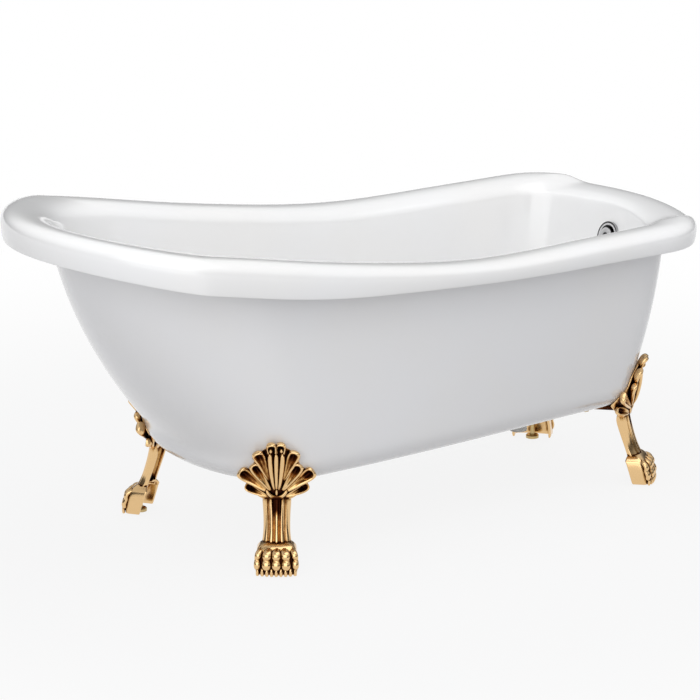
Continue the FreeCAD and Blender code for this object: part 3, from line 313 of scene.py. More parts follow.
# %% Sky and lamps
SKY_LEVEL = 0.58
HORIZON = {"From Min": 0.12, "From Max": 0.5, "To Min": 0.10, "To Max": 0.9}
world = bpy.data.worlds.new("studio_sky")
world.use_nodes = True
scene.world = world
sky = world.node_tree
even = sky.nodes["Background"]
even.inputs["Color"].default_value = (0.97, 0.98, 1.0, 1)
even.inputs["Strength"].default_value = SKY_LEVEL
white = sky.nodes.new("ShaderNodeBackground")
white.inputs["Color"].default_value = (1, 1, 1, 1)
mirrored = sky.nodes.new("ShaderNodeBackground")
direction = sky.nodes.new("ShaderNodeTexCoord")
height = sky.nodes.new("ShaderNodeSeparateXYZ")
horizon = sky.nodes.new("ShaderNodeMapRange")
horizon.interpolation_type = "SMOOTHSTEP"
for name, value in HORIZON.items():
    horizon.inputs[name].default_value = value
rays = sky.nodes.new("ShaderNodeLightPath")
looked_at = sky.nodes.new("ShaderNodeMath")
looked_at.operation = "MAXIMUM"
lit = sky.nodes.new("ShaderNodeMixShader")
whole = sky.nodes.new("ShaderNodeMixShader")
for output, socket in ((direction.outputs["Generated"], height.inputs[0]),
                       (height.outputs["Z"], horizon.inputs["Value"]),
                       (horizon.outputs["Result"], mirrored.inputs["Strength"]),
                       (rays.outputs["Is Glossy Ray"], lit.inputs[0]),
                       (even.outputs[0], lit.inputs[1]),
                       (mirrored.outputs[0], lit.inputs[2]),
                       (rays.outputs["Is Camera Ray"], looked_at.inputs[0]),
                       (rays.outputs["Is Transmission Ray"], looked_at.inputs[1]),
                       (looked_at.outputs[0], whole.inputs[0]),
                       (lit.outputs[0], whole.inputs[1]),
                       (white.outputs[0], whole.inputs[2]),
                       (whole.outputs[0], sky.nodes["World Output"].inputs["Surface"])):
    sky.links.new(output, socket)


def soft_lamp(name, place, width, power, color):
    data = bpy.data.lights.new(name, "AREA")
    data.size = width
    data.energy = power
    data.color = color
    lamp = bpy.data.objects.new(name, data)
    scene.collection.objects.link(lamp)
    lamp.location = place
    lamp.rotation_euler = (Vector(place) - LOOK_AT).to_track_quat("Z", "Y").to_euler()


soft_lamp("overhead_softbox", (0.2, -0.8, 4.2), 4.5, 75.0, (1.0, 0.995, 0.985))
soft_lamp("front_softbox", (-3.7, -3.5, 1.9), 5.0, 118.0, (1.0, 1.0, 1.0))
print("sky and lamps ready")

# %% [markdown]
# Both shells are drawn from plan outlines: the rim's edge, the mouth of the basin, the basin's foot, and the
# skirt's top and foot. Each half outline is four smooth curves from the high end over the widest place and
# the low corner to the middle of the low end. Lengths here are in millimetres, as on a drawing.

# %% Plan outlines
STEPS = (18, 16, 14, 6)


def curve_point(points, s):
    weights = ((1 - s) ** 3, 3 * s * (1 - s) ** 2, 3 * s * s * (1 - s), s ** 3)
    return Vector([sum(w * p[axis] for w, p in zip(weights, points)) for axis in (0, 1)])


def plan_outline(head, tail, wide, widest, tail_wide, corner, bow, nose, shoulder):
    """A whole outline from its half. Shares of each run place the handles of the four curves."""
    run = tail - corner - widest
    fall = 1.2 * (tail_wide - wide) / run
    flat = tail_wide - corner
    lead = 0.58 * corner / math.hypot(2 * bow, flat)
    curves = (((head, 0), (head, nose * wide), (widest - shoulder * (widest - head), wide), (widest, wide)),
              ((widest, wide), (widest + 0.4 * run, wide),
               (tail - corner - 0.4 * run, tail_wide - 0.4 * run * fall), (tail - corner, tail_wide)),
              ((tail - corner, tail_wide), (tail - 0.42 * corner, tail_wide + 0.58 * corner * fall),
               (tail - bow - lead * 2 * bow, flat + lead * flat), (tail - bow, flat)),
              ((tail - bow, flat), (tail - 0.4 * bow, 0.7 * flat), (tail, 0.3 * flat), (tail, 0)))
    half = [curve_point(c, k / n) for c, n in zip(curves, STEPS) for k in range(n)] + [Vector((tail, 0))]
    return half[::-1] + [Vector((p.x, -p.y)) for p in half[1:-1]]


def inset(outline, distance):
    moved = []
    for i, p in enumerate(outline):
        along = outline[(i + 1) % len(outline)] - outline[i - 1]
        outward = Vector((along.y, -along.x)).normalized()
        moved.append(p - outward * distance)
    return moved


RIM = plan_outline(-850, 850, 360, -607, 326, 209, 15, 0.48, 0.30)
MOUTH = plan_outline(-740, 747, 249, -450, 217, 140, 14, 0.53, 0.42)
BASIN_FOOT = plan_outline(-430, 640, 200, -260, 182, 150, 2, 0.66, 0.45)
SKIRT_TOP = plan_outline(-742, 792, 299, -398, 269, 175, 24, 0.54, 0.46)
SKIRT_FOOT = plan_outline(-475, 724, 282, -293, 232, 156, 19, 0.69, 0.42)
CREST_INSET = 50
CREST = inset(RIM, CREST_INSET)
print("outline points", len(RIM))

# %% [markdown]
# The rim's crest swoops from the high end down to the sides and stays level to the low end, where a shallow
# ledge lies between two raised corners. A smooth curve through a few measured heights gives each of these
# lines.

# %% Heights along the bath
def smooth_through(stations, values, at):
    at = min(max(at, stations[0]), stations[-1])
    i = max(k for k in range(len(stations) - 1) if stations[k] <= at)

    def slope(k):
        low, high = max(k - 1, 0), min(k + 1, len(stations) - 1)
        return (values[high] - values[low]) / (stations[high] - stations[low])

    width = stations[i + 1] - stations[i]
    s = (at - stations[i]) / width
    return (values[i] * (1 + 2 * s) * (1 - s) ** 2 + values[i + 1] * s * s * (3 - 2 * s)
            + slope(i) * width * s * (1 - s) ** 2 - slope(i + 1) * width * s * s * (1 - s))


def ease(s):
    s = min(max(s, 0.0), 1.0)
    return s * s * (3 - 2 * s)


def rim_line(x):
    return smooth_through((-850, -552, -200, 150, 502, 850), (796, 746, 676, 626, 621, 622), x)


def lip_height(x):
    return smooth_through((-850, -400, 102, 450, 850), (68, 77, 43, 47, 57), x)


LEDGE_HALF, LEDGE_CORNER, LEDGE_RUN, LEDGE_DROP = 193, 32, 209, 17


def on_ledge(x, y):
    return (1 - ease((abs(y) - LEDGE_HALF) / LEDGE_CORNER)) * ease(x / LEDGE_RUN)


def ledge(x, y):
    return LEDGE_DROP * on_ledge(x, y)


print("crest", round(rim_line(-850)), "to", round(rim_line(850)))

# %% [markdown]
# A shell is modelled as by hand: a circle is added, its points are moved to the first row, and its edge loop
# is extruded from row to row. An open shell is then turned so that its faces look the right way.

# %% Tools for shells
WELD = 0.3


def select_only(piece):
    bpy.ops.object.select_all(action="DESELECT")
    piece.select_set(True)
    bpy.context.view_layer.objects.active = piece


def extruded(name, rows, close_end=False, close_start=False):
    bpy.ops.object.select_all(action="DESELECT")
    bpy.ops.mesh.primitive_circle_add(vertices=len(rows[0]), radius=1.0)
    piece = bpy.context.object
    piece.name = piece.data.name = name
    bpy.ops.object.mode_set(mode="EDIT")
    mesh = bmesh.from_edit_mesh(piece.data)
    ring = list(range(len(rows[0])))
    for vertex, place in zip(mesh.verts, rows[0]):
        vertex.co = Vector(place) * MM
    if close_start:
        bpy.ops.mesh.edge_face_add()
        bpy.ops.mesh.select_all(action="SELECT")
    for row in rows[1:]:
        bpy.ops.mesh.extrude_edges_indiv()
        mesh = bmesh.from_edit_mesh(piece.data)
        mesh.verts.ensure_lookup_table()
        ring = [next(e.other_vert(mesh.verts[i]).index for e in mesh.verts[i].link_edges
                     if e.other_vert(mesh.verts[i]).select) for i in ring]
        for i, place in zip(ring, row):
            mesh.verts[i].co = Vector(place) * MM
    if close_end:
        bpy.ops.mesh.edge_face_add()
    bpy.ops.mesh.select_all(action="SELECT")
    bpy.ops.mesh.normals_make_consistent(inside=False)
    bpy.ops.object.mode_set(mode="OBJECT")
    return piece


def welded(piece):
    """Merges the points of a row that was drawn together to a line, which closes the shell there."""
    select_only(piece)
    bpy.ops.object.mode_set(mode="EDIT")
    bpy.ops.mesh.select_all(action="SELECT")
    bpy.ops.mesh.remove_doubles(threshold=WELD * MM)
    bpy.ops.object.mode_set(mode="OBJECT")
    return piece


def facing(piece, place, direction):
    """Turns an open shell so that its face nearest to a place looks in a direction."""
    place = Vector(place) * MM
    nearest = min(piece.data.polygons, key=lambda face: (face.center - place).length)
    if nearest.normal.dot(Vector(direction)) < 0:
        select_only(piece)
        bpy.ops.object.mode_set(mode="EDIT")
        bpy.ops.mesh.select_all(action="SELECT")
        bpy.ops.mesh.flip_normals()
        bpy.ops.object.mode_set(mode="OBJECT")
    return piece


print("shell tools ready")

# %% [markdown]
# Modifiers do the rest. Subdivision smooths a shell, Solidify gives the wall its thickness, a small bevel
# breaks the cut edge, and a Boolean drills a hole.

# %% Tools that finish a piece
def finished(piece, kind, **settings):
    select_only(piece)
    bpy.ops.object.modifier_add(type=kind)
    modifier = piece.modifiers[-1]
    for name, value in settings.items():
        setattr(modifier, name, value)
    bpy.ops.object.modifier_apply(modifier=modifier.name)
    return piece


def subdivided(piece):
    return finished(piece, "SUBSURF", levels=1, render_levels=1)


def drilled(piece, place, axis, radius, length):
    bpy.ops.object.select_all(action="DESELECT")
    bpy.ops.mesh.primitive_cylinder_add(vertices=64, radius=radius * MM, depth=length * MM,
                                        location=Vector(place) * MM,
                                        rotation=Vector(axis).to_track_quat("Z", "Y").to_euler())
    drill = bpy.context.object
    finished(piece, "BOOLEAN", operation="DIFFERENCE", object=drill, solver="FAST")
    bpy.data.objects.remove(drill)


def shown(piece, body, material, node, angle=40):
    select_only(piece)
    bpy.ops.object.shade_smooth_by_angle(angle=math.radians(angle))
    piece.data.materials.clear()
    piece.data.materials.append(material)
    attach(piece, body)
    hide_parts(node)
    print(piece.name, len(piece.data.polygons), "faces")


print("finishing tools ready")

# %% [markdown]
# The basin is one moulding. Its rows start at the lip's lower edge, climb the lip, roll over the crest, fall
# down the inner wall and curve into the floor. Rows that lie close together keep the crease under the roll
# crisp.

# %% Basin rows
ROLL = 2 / 2.5
FLOOR, MIDDLE = 214.4, 105
INNER_DROP, LEDGE_RISE = 45, 30
LIP_ROWS = ((5, 1.0), (4, 0.96), (1.5, 0.78))
OUTER_ROLL = (0, 12, 24, 36, 48, 60, 72, 82, 90)
INNER_ROLL = (12, 24, 36, 48, 60, 70, 78)
WALL_SHARES = (0.04, 0.12, 0.3, 0.45, 0.6)
BEND_SHARES = (0.15, 0.3, 0.45, 0.6, 0.75, 0.9)
FLOOR_SHARES = ((0.83, 0.55), (0.79, 0.50), (0.72, 0.34), (0.66, 0.16), (0.62, 0.0))


def rim_row(outline, lip_share, ledge_share):
    row = []
    for p in outline:
        z = rim_line(p.x) - lip_share * lip_height(p.x) - ledge_share * ledge(p.x, p.y)
        row.append((p.x, p.y, z))
    return row


def part_way(a, b, share):
    return [p + (q - p) * share for p, q in zip(a, b)]


def row_blend(a, b, share):
    return [Vector(p) + (Vector(q) - Vector(p)) * share for p, q in zip(a, b)]


def flat_row(outline, z):
    return [(p.x, p.y, z) for p in outline]


def shrunk(outline, long_share, wide_share):
    """A row on the floor, drawn in towards the middle."""
    return [(MIDDLE + (p.x - MIDDLE) * long_share, p.y * wide_share, FLOOR) for p in outline]


rows = [rim_row(inset(RIM, tuck), lip_share, 0) for tuck, lip_share in LIP_ROWS]
for degrees in OUTER_ROLL:
    angle = math.radians(degrees)
    rise = math.sin(angle) ** ROLL
    rows.append(rim_row(inset(RIM, CREST_INSET * (1 - math.cos(angle) ** ROLL)), 0.5 * (1 - rise), rise))
for degrees in INNER_ROLL:
    sine = math.sin(math.radians(degrees))
    fall = 1 - (1 - sine * sine) ** (ROLL / 2)
    row = []
    for p in part_way(CREST, MOUTH, sine ** ROLL):
        drop = (INNER_DROP - LEDGE_RISE * on_ledge(p.x, p.y)) * fall
        row.append((p.x, p.y, rim_line(p.x) - ledge(p.x, p.y) - drop))
    rows.append(row)
wall_top, wall_foot = rows[-1], flat_row(BASIN_FOOT, FLOOR)
rows += [row_blend(wall_top, wall_foot, share) for share in WALL_SHARES]
floor_rows = [shrunk(BASIN_FOOT, *shares) for shares in FLOOR_SHARES]
wall_end = rows[-1]
for s in BEND_SHARES:
    rows.append(row_blend(row_blend(wall_end, wall_foot, s), row_blend(wall_foot, floor_rows[0], s), s))
rows += floor_rows
print("basin rows", len(rows))

# %% [markdown]
# The last row of the floor lies on a line, so welding its points closes the basin. Then the wall gets its
# thickness, and two drills make the drain hole and the overflow hole.

# %% Basin
SEAT = Vector((725.8, 0, 524.0))
SEAT_AXIS = Vector((-0.96363, 0, 0.26723))
BASIN_WALL, EDGE_ROUND = 6, 1.2
DRAIN_AT, DRAIN_HOLE, OVERFLOW_HOLE = 470, 26, 26.4
SHARP = math.radians(60)
basin = subdivided(facing(welded(extruded("basin", rows)), (0, 0, FLOOR), (0, 0, 1)))
finished(basin, "SOLIDIFY", thickness=BASIN_WALL * MM, offset=-1.0)
finished(basin, "BEVEL", width=EDGE_ROUND * MM, segments=2, limit_method="ANGLE", angle_limit=SHARP)
drilled(basin, (DRAIN_AT, 0, FLOOR - BASIN_WALL / 2), (0, 0, 1), DRAIN_HOLE, length=30)
drilled(basin, SEAT, SEAT_AXIS, OVERFLOW_HOLE, length=40)
shown(basin, "tub", ACRYLIC, "basin_shell")

# %% [markdown]
# The skirt is the second moulding. Its top is tucked up under the rim, its wall bellies out on the way down,
# and it rounds in to a flat flange that the feet are bolted through.

# %% Skirt
BELLY = 0.55
ROUND, ROUND_TOP, GROUND = 65.0, 250.0, 185.0
TUCK, SKIRT_WALL, WALL_ROWS = 32, 5, 12
FLANGE = (80, 110)


def skirt_wall(level):
    row = []
    share = level + BELLY * level * (1 - level)
    for t, f in zip(SKIRT_TOP, SKIRT_FOOT):
        z = ROUND_TOP + (rim_line(t.x) - lip_height(t.x) - ROUND_TOP) * level
        row.append((f.x + (t.x - f.x) * share, f.y + (t.y - f.y) * share, z))
    return row


def under_rim(outline):
    return [(p.x, p.y, rim_line(p.x) - ledge(p.x, p.y) - TUCK) for p in outline]


rows = [under_rim(SKIRT_TOP)] + [skirt_wall(k / WALL_ROWS) for k in range(WALL_ROWS, 0, -1)]
for degrees in range(0, 91, 15):
    angle = math.radians(degrees)
    outline = inset(SKIRT_FOOT, ROUND * (1 - math.cos(angle)))
    rows.append(flat_row(outline, ROUND_TOP - ROUND * math.sin(angle)))
rows += [flat_row(inset(SKIRT_FOOT, distance), GROUND) for distance in FLANGE]
skirt = subdivided(facing(extruded("skirt", rows), (0, -290, 450), (0, -1, 0)))
finished(skirt, "SOLIDIFY", thickness=SKIRT_WALL * MM, offset=-1.0)
# The skirt wears the darker copy of the acrylic, which is painted shade.
shown(skirt, "tub", SHADED_SKIRT_ACRYLIC, "outer_skirt")

# %% [markdown]
# Each foot is drawn in its own frame, in millimetres: the first number points out along the toes, the second
# to the side and the third up, with zero on the ground under the paw. The palmette leans on the skirt, so its
# points ask where the skirt's face is at their height.

# %% Frames of the feet
FEET = {"left": (Vector((-388, -271, 0)), math.radians(234)),
        "right": (Vector((667, -205.5, 0)), math.radians(-45))}
LOWEST, HIGHEST, WIDEST, GRID = 186, 302, 100, 4


def skirt_level(z):
    """The skirt's outline at a height."""
    if z < ROUND_TOP:
        sine = min((ROUND_TOP - z) / ROUND, 1.0)
        return inset(SKIRT_FOOT, ROUND * (1 - math.sqrt(1 - sine * sine)))
    row = []
    for t, f in zip(SKIRT_TOP, SKIRT_FOOT):
        level = (z - ROUND_TOP) / (rim_line(t.x) - lip_height(t.x) - ROUND_TOP)
        row.append(f + (t - f) * (level + BELLY * level * (1 - level)))
    return row


def reach_table(place, heading):
    """Where the skirt's face lies along the foot's first axis, on a grid of heights and side steps."""
    out = Vector((math.cos(heading), math.sin(heading)))
    aside = Vector((-math.sin(heading), math.cos(heading)))
    table = {}
    for z in range(LOWEST, HIGHEST + 1, GRID):
        local = [((p - place.xy).dot(out), (p - place.xy).dot(aside)) for p in skirt_level(z)]
        edges = list(zip(local, local[1:] + local[:1]))
        for w in range(-WIDEST, WIDEST + 1, GRID):
            table[z, w] = max(a[0] + (b[0] - a[0]) * (w - a[1]) / (b[1] - a[1]) for a, b in edges
                              if (a[1] - w) * (b[1] - w) <= 0 and a[1] != b[1])
    return table


def reach(table, w, z):
    """Reads the table between its grid points."""
    z, w = min(max(z, LOWEST), HIGHEST - GRID - 0.1), min(max(w, GRID - WIDEST), WIDEST - GRID - 0.1)
    z0 = LOWEST + GRID * int((z - LOWEST) // GRID)
    w0 = -WIDEST + GRID * int((w + WIDEST) // GRID)
    s, t = (z - z0) / GRID, (w - w0) / GRID
    low = table[z0, w0] * (1 - t) + table[z0, w0 + GRID] * t
    high = table[z0 + GRID, w0] * (1 - t) + table[z0 + GRID, w0 + GRID] * t
    return low * (1 - s) + high * s


TABLES = {name: reach_table(*place) for name, place in FEET.items()}
print("skirt in front of the left foot", round(reach(TABLES["left"], 0, 250), 1))

# %% [markdown]
# Leaves, tendons and toes are all limbs: a ring of points that is extruded along a path while its width and
# thickness change. A groove along the top turns a limb into a leaf with a midrib's furrow.

# %% Limbs
GROOVE_WIDTH = 0.5
ASIDE = (0, 1, 0)


def limb(name, path, halves, across, points=14, grooves=None):
    rows = []
    path = [Vector(p) for p in path]
    for i, (place, (wide, thick)) in enumerate(zip(path, halves)):
        along = (path[min(i + 1, len(path) - 1)] - path[max(i - 1, 0)]).normalized()
        side = (Vector(across) - along * along.dot(Vector(across))).normalized()
        up = along.cross(side)
        row = []
        for k in range(points):
            turn = 2 * math.pi * k / points
            c, v = math.cos(turn), math.sin(turn)
            dip = grooves[i] * math.exp(-(c / GROOVE_WIDTH) ** 2) if grooves and v > 0 else 0.0
            row.append(place + side * (wide * c) + up * (thick * v * (1 - dip)))
        rows.append(row)
    return subdivided(extruded(name, rows, close_end=True, close_start=True))


def sheet(name, rows, inside, wall):
    """A bent wall: a grid is added, its points are moved to the rows, and Solidify thickens it inwards."""
    bpy.ops.object.select_all(action="DESELECT")
    bpy.ops.mesh.primitive_grid_add(x_subdivisions=len(rows[0]) - 1, y_subdivisions=len(rows) - 1, size=1.0)
    piece = bpy.context.object
    piece.name = piece.data.name = name
    for vertex, place in zip(piece.data.vertices, (place for row in rows for place in row)):
        vertex.co = Vector(place) * MM
    middle = piece.data.polygons[len(piece.data.polygons) // 2 + len(rows[0]) // 2 - 1]
    facing(piece, middle.center / MM, middle.center - Vector(inside) * MM)
    finished(piece, "SOLIDIFY", thickness=wall * MM, offset=-1.0)
    return subdivided(piece)


print("limbs ready")

# %% [markdown]
# The palmette lies on the skirt and leaves it at a knee, where the casting bends in to the neck. The
# functions here give a point over its ground or behind it, and a leaf is a limb that is drawn over that
# ground.

# %% The palmette's ground
NECK_HEIGHT, NECK_OUT, KNEE = 150, -36, 228
CASTING, PLATE_WALL, TOUCH = 7, 13, 0.6
HUG_HALF, HUG_LOWEST = 75, 196


def knee(z):
    """How far a height is on the way from the knee, where the casting leaves the skirt, in to the neck."""
    return min(max((KNEE - z) / (KNEE - NECK_HEIGHT), 0.0), 1.2) ** 1.5


def over(table, w, z, lift):
    """A point on the palmette's ground, which lies on the skirt and leaves it below the knee, plus a lift."""
    share = knee(z)
    middle = (reach(table, w, max(z, KNEE)) + CASTING) * (1 - share) + NECK_OUT * share
    aside = min(abs(w) / HUG_HALF, 1.0) ** 2
    hugging = min(middle, reach(table, w, max(z, HUG_LOWEST)) + CASTING)
    return Vector((middle + (hugging - middle) * aside + lift, w, z))


def behind(table, w, z):
    """The palmette's hidden side: it touches the skirt and then follows the ground at a wall's distance."""
    return Vector((max(reach(table, w, z) + TOUCH, over(table, w, z, -PLATE_WALL).x), w, z))


# Along a leaf: share of its length, rise, share of its half width, half thickness and depth of the groove.
SPOON = ((0.0, 0.0, 0.30, 5.0, 0.2), (0.22, 1.5, 0.52, 6.5, 0.6), (0.45, 2.5, 0.78, 7.5, 1.0),
         (0.64, 4.0, 0.96, 9.0, 1.5), (0.76, 5.0, 1.04, 10.0, 1.9), (0.86, 6.5, 1.04, 10.0, 2.0),
         (0.93, 9.5, 0.96, 8.5, 1.0), (0.98, 12.0, 0.80, 6.5, 0.2), (1.0, 12.5, 0.52, 4.0, 0.0))


def leaf(table, name, start, end, lift, width, hood):
    """A spoon that grows from start to end, with a hollow bowl and a raised hood at its tip."""
    start, end = Vector(start), Vector(end)
    along = (end - start).normalized()
    path = []
    halves = []
    grooves = []
    for share, rise, broad, thick, groove in SPOON:
        p = start + (end - start) * share
        path.append(over(table, p.x, p.y, lift + rise * hood))
        halves.append((width * broad, thick))
        grooves.append(groove)
    return limb(name, path, halves, (0, -along.y, along.x), points=20, grooves=grooves)


print("steps along a leaf", len(SPOON))

# %% [markdown]
# The palmette is a fan of cast leaves on a thick ground. Each leaf is a spoon with raised edges and a tip
# that curls over, so that the light catches the curl and leaves a dark hollow under it. Three flutes rise in
# the middle, and a clip with a bud holds the leaves together at the neck.

# %% Palmette
# A leaf: name, start and end as side step and height, lift off the ground, half width and height of its hood.
LEAVES = (("lower", (17, 166), (68, 186), 1, 11, 0.7), ("outer", (17, 178), (81, 224), 2, 15, 1.0),
          ("broad", (12, 180), (51, 244), 3, 13, 0.8), ("upper", (14, 204), (42, 276), 2, 14, 1.0),
          ("top", (5, 236), (11, 298), 2, 11.5, 0.9))
PLATE = ((0, 289), (24, 282), (42, 264), (52, 240), (70, 218), (68, 200), (58, 180), (38, 160), (0, 150))
PLATE_MIDDLE = Vector((0, 212))
GROUND_ROWS = ((0.84, -1.0), (0.93, -1.0), (0.985, -0.5), (1.0, 0.4), (0.95, 1.0), (0.8, 1.0), (0.5, 1.0),
               (0.2, 1.0))
FLUTE = ((4, 180, 3), (7, 198, 9), (10, 222, 11), (12.5, 246, 11), (13.5, 266, 8), (13.5, 276, 4))
FLUTE_HALVES = ((2.4, 4), (4.2, 6), (5.6, 7), (6.4, 7), (5.6, 6), (3, 4))
EYE_ASIDE, CLIP_LIFT = 11.5, 4
EYE = ((274, 9), (278, 12), (282, 12), (286, 9))
EYE_HALVES = ((1.5, 1.5), (3.6, 3.4), (3.6, 3.4), (1.5, 1.5))
CLIP = ((-23, 184), (-18, 174), (-10, 166), (0, 164), (10, 166), (18, 174), (23, 184))
CLIP_HALVES = ((2.5, 3), (5.0, 5), (5.4, 5), (5.2, 5), (5.4, 5), (5.0, 5), (2.5, 3))
BUD = ((168, 5), (178, 7), (190, 5))
BUD_HALVES = ((2, 2), (3.6, 4), (1.2, 2))


def backing(table):
    """The ground: a smooth curve through the plate's corners, drawn from the skirt up to the leaves."""
    half = [Vector(p) for p in PLATE]
    edge = half + [Vector((-p.x, p.y)) for p in half[-2:0:-1]]
    fine = []
    for i, p in enumerate(edge):
        a, b, c = edge[i - 1], edge[(i + 1) % len(edge)], edge[(i + 2) % len(edge)]
        for k in range(4):
            s = k / 4
            fine.append(0.5 * ((2 * p) + (b - a) * s + (2 * a - 5 * p + 4 * b - c) * s * s
                               + (3 * p - a - 3 * b + c) * s ** 3))
    rows = []
    for share, depth in GROUND_ROWS:
        row = []
        for p in fine:
            w, z = PLATE_MIDDLE + (p - PLATE_MIDDLE) * share
            low, high = behind(table, w, z), over(table, w, z, 0)
            row.append(low + (high - low) * (depth + 1) / 2)
        rows.append(row)
    return subdivided(extruded("palmette_ground", rows, close_end=True, close_start=True))


def palmette(table):
    pieces = [backing(table)]
    for name, start, end, lift, width, hood in LEAVES:
        for mirror in (1, -1):
            low, high = (mirror * start[0], start[1]), (mirror * end[0], end[1])
            pieces.append(leaf(table, name, low, high, lift, width, hood))
    for w in (-1, 0, 1):
        path = [over(table, w * spread, z, lift) for spread, z, lift in FLUTE]
        pieces.append(limb("flute", path, FLUTE_HALVES, ASIDE))
    for w in (-EYE_ASIDE, EYE_ASIDE):
        path = [over(table, w, z, lift) for z, lift in EYE]
        pieces.append(limb("eye", path, EYE_HALVES, ASIDE, points=10))
    clip = [over(table, w, z, CLIP_LIFT) for w, z in CLIP]
    pieces.append(limb("neck_clip", clip, CLIP_HALVES, (1, 0, 0.4)))
    bud = [over(table, 0, z, lift) for z, lift in BUD]
    pieces.append(limb("neck_bud", bud, BUD_HALVES, ASIDE))
    return pieces


print("leaves", 2 * len(LEAVES))

# %% [markdown]
# The shank and the paw are castings with an open back, so each is a bent wall. Rows give the height, the
# front, the rear edge and the half width. Five tendons run down the shank, and the middle one fades out under
# the neck.

# %% Shank and paw
SHANK = ((176, -32, -46, 28), (164, -28, -54, 31), (150, -25, -56, 31.5), (134, -22, -51, 30),
         (112, -16, -44, 29), (93, -10, -37, 29), (79, -4, -32, 30), (67, 2, -28, 32), (54, 6, -25, 33))
PAW = ((3, 25, -14, 45), (14, 25, -17, 46), (30, 23, -22, 45.5), (46, 19, -27, 44), (55, 15, -30, 42.5),
       (57, 14, -32, 42), (62, 9, -31, 38), (67, 3, -29, 33), (70, -4, -27, 24), (71, -10, -25, 10))
TENDONS, FURROW, SHANK_ROUND = 5, 4.5, 21
HOLLOW, HOLLOW_WIDTH, HOLLOW_TOP, HOLLOW_RUN = 7.0, 0.26, 160, 40
SHANK_FACE, PAW_FACE, RETURN = 32, 16, 8
WALL = 6.0


def shank():
    rows = []
    for z, front, rear, wide in SHANK:
        row = []
        fade = ease((HOLLOW_TOP - z) / HOLLOW_RUN)
        for k in range(-SHANK_FACE - RETURN, SHANK_FACE + RETURN + 1):
            side = min(max(k / SHANK_FACE, -1.0), 1.0)
            c, v = math.cos(side * math.pi / 2), math.sin(side * math.pi / 2)
            furrow = FURROW * (0.5 - 0.5 * math.cos(TENDONS * math.pi * v)) ** 2
            hollow = HOLLOW * math.exp(-(v / HOLLOW_WIDTH) ** 2) * (1 - fade)
            back = max(abs(k) - SHANK_FACE, 0) / RETURN
            u = front - SHANK_ROUND + SHANK_ROUND * c ** 0.9 - (furrow + hollow) * c ** 0.6
            row.append((u + (rear - u) * back, wide * v * (1 - 0.04 * back), z))
        rows.append(row)
    return sheet("shank", rows, (-40, 0, 110), WALL)


def paw_wall():
    rows = []
    for z, front, rear, wide in PAW:
        row = []
        for k in range(-PAW_FACE - RETURN, PAW_FACE + RETURN + 1):
            side = min(max(k / PAW_FACE, -1.0), 1.0)
            c, v = math.cos(side * math.pi / 2) ** 0.5, math.sin(side * math.pi / 2)
            v = math.copysign(abs(v) ** 0.6, v)
            back = max(abs(k) - PAW_FACE, 0) / RETURN
            u = front - 0.5 * (front - rear) * (1 - c)
            row.append((u + (rear - u) * back, wide * v, z))
        rows.append(row)
    return sheet("paw_wall", rows, (-10, 0, 35), WALL)


print("shank rows", len(SHANK), "paw rows", len(PAW))

# %% [markdown]
# The toes are scrolls with a knuckle and a pad, and narrow claws stand below them in a shallow bow. A lug
# reaches in under the skirt and takes the bolts.

# %% Toes, claws and lug
TOES = ((-41, 0.78, -6), (-21, 1.0, 0), (0, 1.0, 1), (21, 1.0, 0), (41, 0.78, -6))
TOE = ((4, 0.74, 58), (13, 0.85, 56), (20, 0.93, 51), (24, 0.97, 45.5), (23.5, 0.99, 40.5), (22, 1.0, 37),
       (26, 1.0, 32), (28.5, 1.0, 26), (27.5, 1.0, 20), (24, 1.0, 16))
TOE_HALVES = ((5, 3.5), (8.6, 5), (10.2, 6.2), (10.4, 6.8), (9.2, 6), (8.2, 5), (10.2, 6.5), (10.8, 7),
              (9.8, 6.6), (7, 5))
CLAW = ((28, 21), (31, 16), (31.5, 10), (31, 5), (30, 3))
CLAW_HALVES = ((2.6, 2.4), (4.0, 3.6), (4.1, 3.8), (4.0, 3.6), (3.2, 2.8))
CLAW_COUNT, CLAW_STEP, PAW_HALF, PAW_CURVE = 9, 10.2, 41, 7


def toe(w, scale, shift):
    path = [(u + shift, w * near, z) for u, near, z in TOE]
    return limb("toe", path, [(wide * scale, thick) for wide, thick in TOE_HALVES], ASIDE)


def claws():
    pieces = []
    for k in range(CLAW_COUNT):
        w = (k - CLAW_COUNT // 2) * CLAW_STEP
        back = PAW_CURVE * (abs(w) / PAW_HALF) ** 3
        path = [(u - back, w, z) for u, z in CLAW]
        pieces.append(limb("claw", path, CLAW_HALVES, ASIDE, points=10))
    return pieces


LUG_FROM, LUG_TO, LUG_HALF, LUG_LOW, LUG_HIGH = -144, -40, 34, 175.0, 184.8
BOLT_BACK, BOLT_ASIDE, BOLT_HOLE = -128, 20, 5.3


def lug():
    """The plate that reaches in under the skirt, with a hole for each of the foot's two bolts."""
    bpy.ops.object.select_all(action="DESELECT")
    bpy.ops.mesh.primitive_cube_add(size=2.0)
    plate = bpy.context.object
    plate.name = plate.data.name = "lug"
    for vertex in plate.data.vertices:
        u = LUG_TO if vertex.co.x > 0 else LUG_FROM
        z = LUG_HIGH if vertex.co.z > 0 else LUG_LOW
        vertex.co = Vector((u, LUG_HALF * vertex.co.y, z)) * MM
    finished(plate, "BEVEL", width=2.5 * MM, segments=3, limit_method="ANGLE", angle_limit=SHARP)
    for aside in (-BOLT_ASIDE, BOLT_ASIDE):
        drilled(plate, (BOLT_BACK, aside, LUG_LOW), (0, 0, 1), BOLT_HOLE, length=40)
    return plate


print("toes", len(TOES), "claws", CLAW_COUNT)
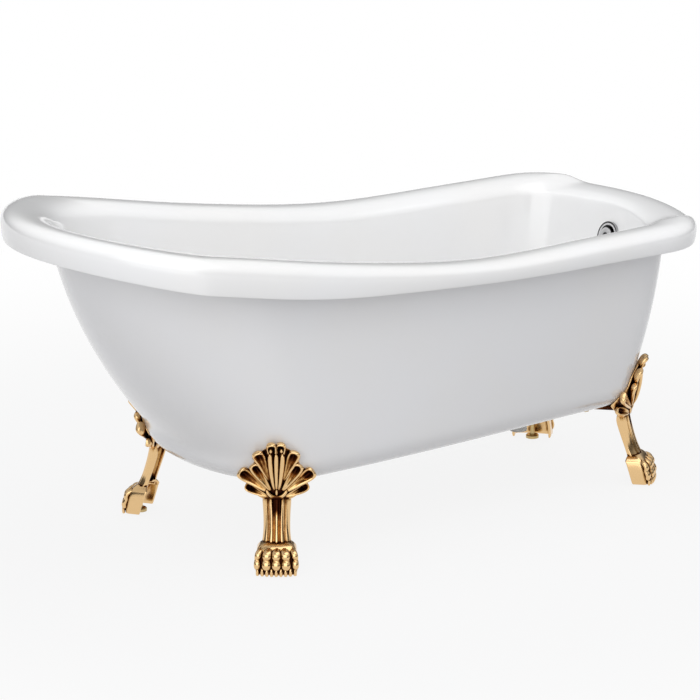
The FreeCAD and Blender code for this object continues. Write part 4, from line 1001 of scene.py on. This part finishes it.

# %% [markdown]
# Painted shade is worked out for each point of a foot. Rays that leave a point and soon meet the casting
# again mean a fold, and the share that gets away is kept as the point's crest value. The middle of the
# shank, under the clip, is painted darker still, as the clip's shadow.

# %% Painted shade on the feet
RAY_COUNT, RAY_TURN, RAY_SPREAD, RAY_START, RAY_REACH = 14, 2.399963, 0.92, 0.4, 20
RAYS = []
for k in range(RAY_COUNT):
    turn = k * RAY_TURN
    rise = 1 - (k + 0.5) / RAY_COUNT * RAY_SPREAD
    level = math.sqrt(1 - rise * rise)
    RAYS.append(Vector((math.cos(turn) * level, math.sin(turn) * level, rise)))


# Painted shadow of the neck clip on the middle of the shank.
SHADE_LOW, SHADE_RUN, SHADE_TOP, SHADE_EDGE = 112, 40, 170, 6
SHADE_HALF, SHADE_SIDE, SHADE_BACK, SHADE_DEPTH = 13, 5, -45, 0.75


def under_clip(u, w, z):
    """How far a point lies in the shade of the neck clip, from 0 to 1."""
    high = ease((z - SHADE_LOW) / SHADE_RUN) * ease((SHADE_TOP - z) / SHADE_EDGE)
    return high * ease((SHADE_HALF - abs(w)) / SHADE_SIDE) * (u > SHADE_BACK)


# The share of open rays is a point's crest value, and the gold paints low values as shade.
def store_painted_shade(piece):
    points = [v.co for v in piece.data.vertices]
    tree = BVHTree.FromPolygons(points, [face.vertices for face in piece.data.polygons])
    values = []
    for v in piece.data.vertices:
        turn = v.normal.to_track_quat("Z", "Y")
        start = v.co + v.normal * (RAY_START * MM)
        free = sum(tree.ray_cast(start, turn @ ray, RAY_REACH * MM)[0] is None for ray in RAYS)
        # The clip's painted shadow darkens the value further.
        values.append(free / len(RAYS) * (1 - SHADE_DEPTH * under_clip(*(v.co / MM))))
    piece.data.attributes.new("crest", "FLOAT", "POINT").data.foreach_set("value", values)
    return sum(values) / len(values)


print("rays for each point", len(RAYS))

# %% [markdown]
# A foot's pieces are joined to one mesh and moved to their place on the bath. The near pair is modelled, and
# each is copied and mirrored for the far side.

# %% Feet
def joined(name, pieces):
    bpy.ops.object.select_all(action="DESELECT")
    for piece in pieces:
        piece.select_set(True)
    bpy.context.view_layer.objects.active = pieces[0]
    bpy.ops.object.join()
    whole = bpy.context.object
    whole.name = whole.data.name = name
    return whole


for side, (place, heading) in FEET.items():
    pieces = palmette(TABLES[side]) + [shank(), paw_wall(), lug()]
    pieces += [toe(*spot) for spot in TOES] + claws()
    near = joined("gold_foot_front_" + side, pieces)
    # The mean crest value: the higher it is, the less of the foot is painted as shade.
    print("unshaded_share", round(store_painted_shade(near), 3))
    near.data.transform(Matrix.Translation(place * MM) @ Matrix.Rotation(heading, 4, "Z"))
    near.data.update()
    far = near.copy()
    far.data = near.data.copy()
    far.name = far.data.name = "gold_foot_back_" + side
    scene.collection.objects.link(far)
    far.data.transform(Matrix.Scale(-1, 4, (0, 1, 0)))
    far.data.flip_normals()
    for row, piece in (("front", near), ("back", far)):
        shown(piece, "tub", GOLD, "claw_foot_" + row + "_" + side, angle=60)
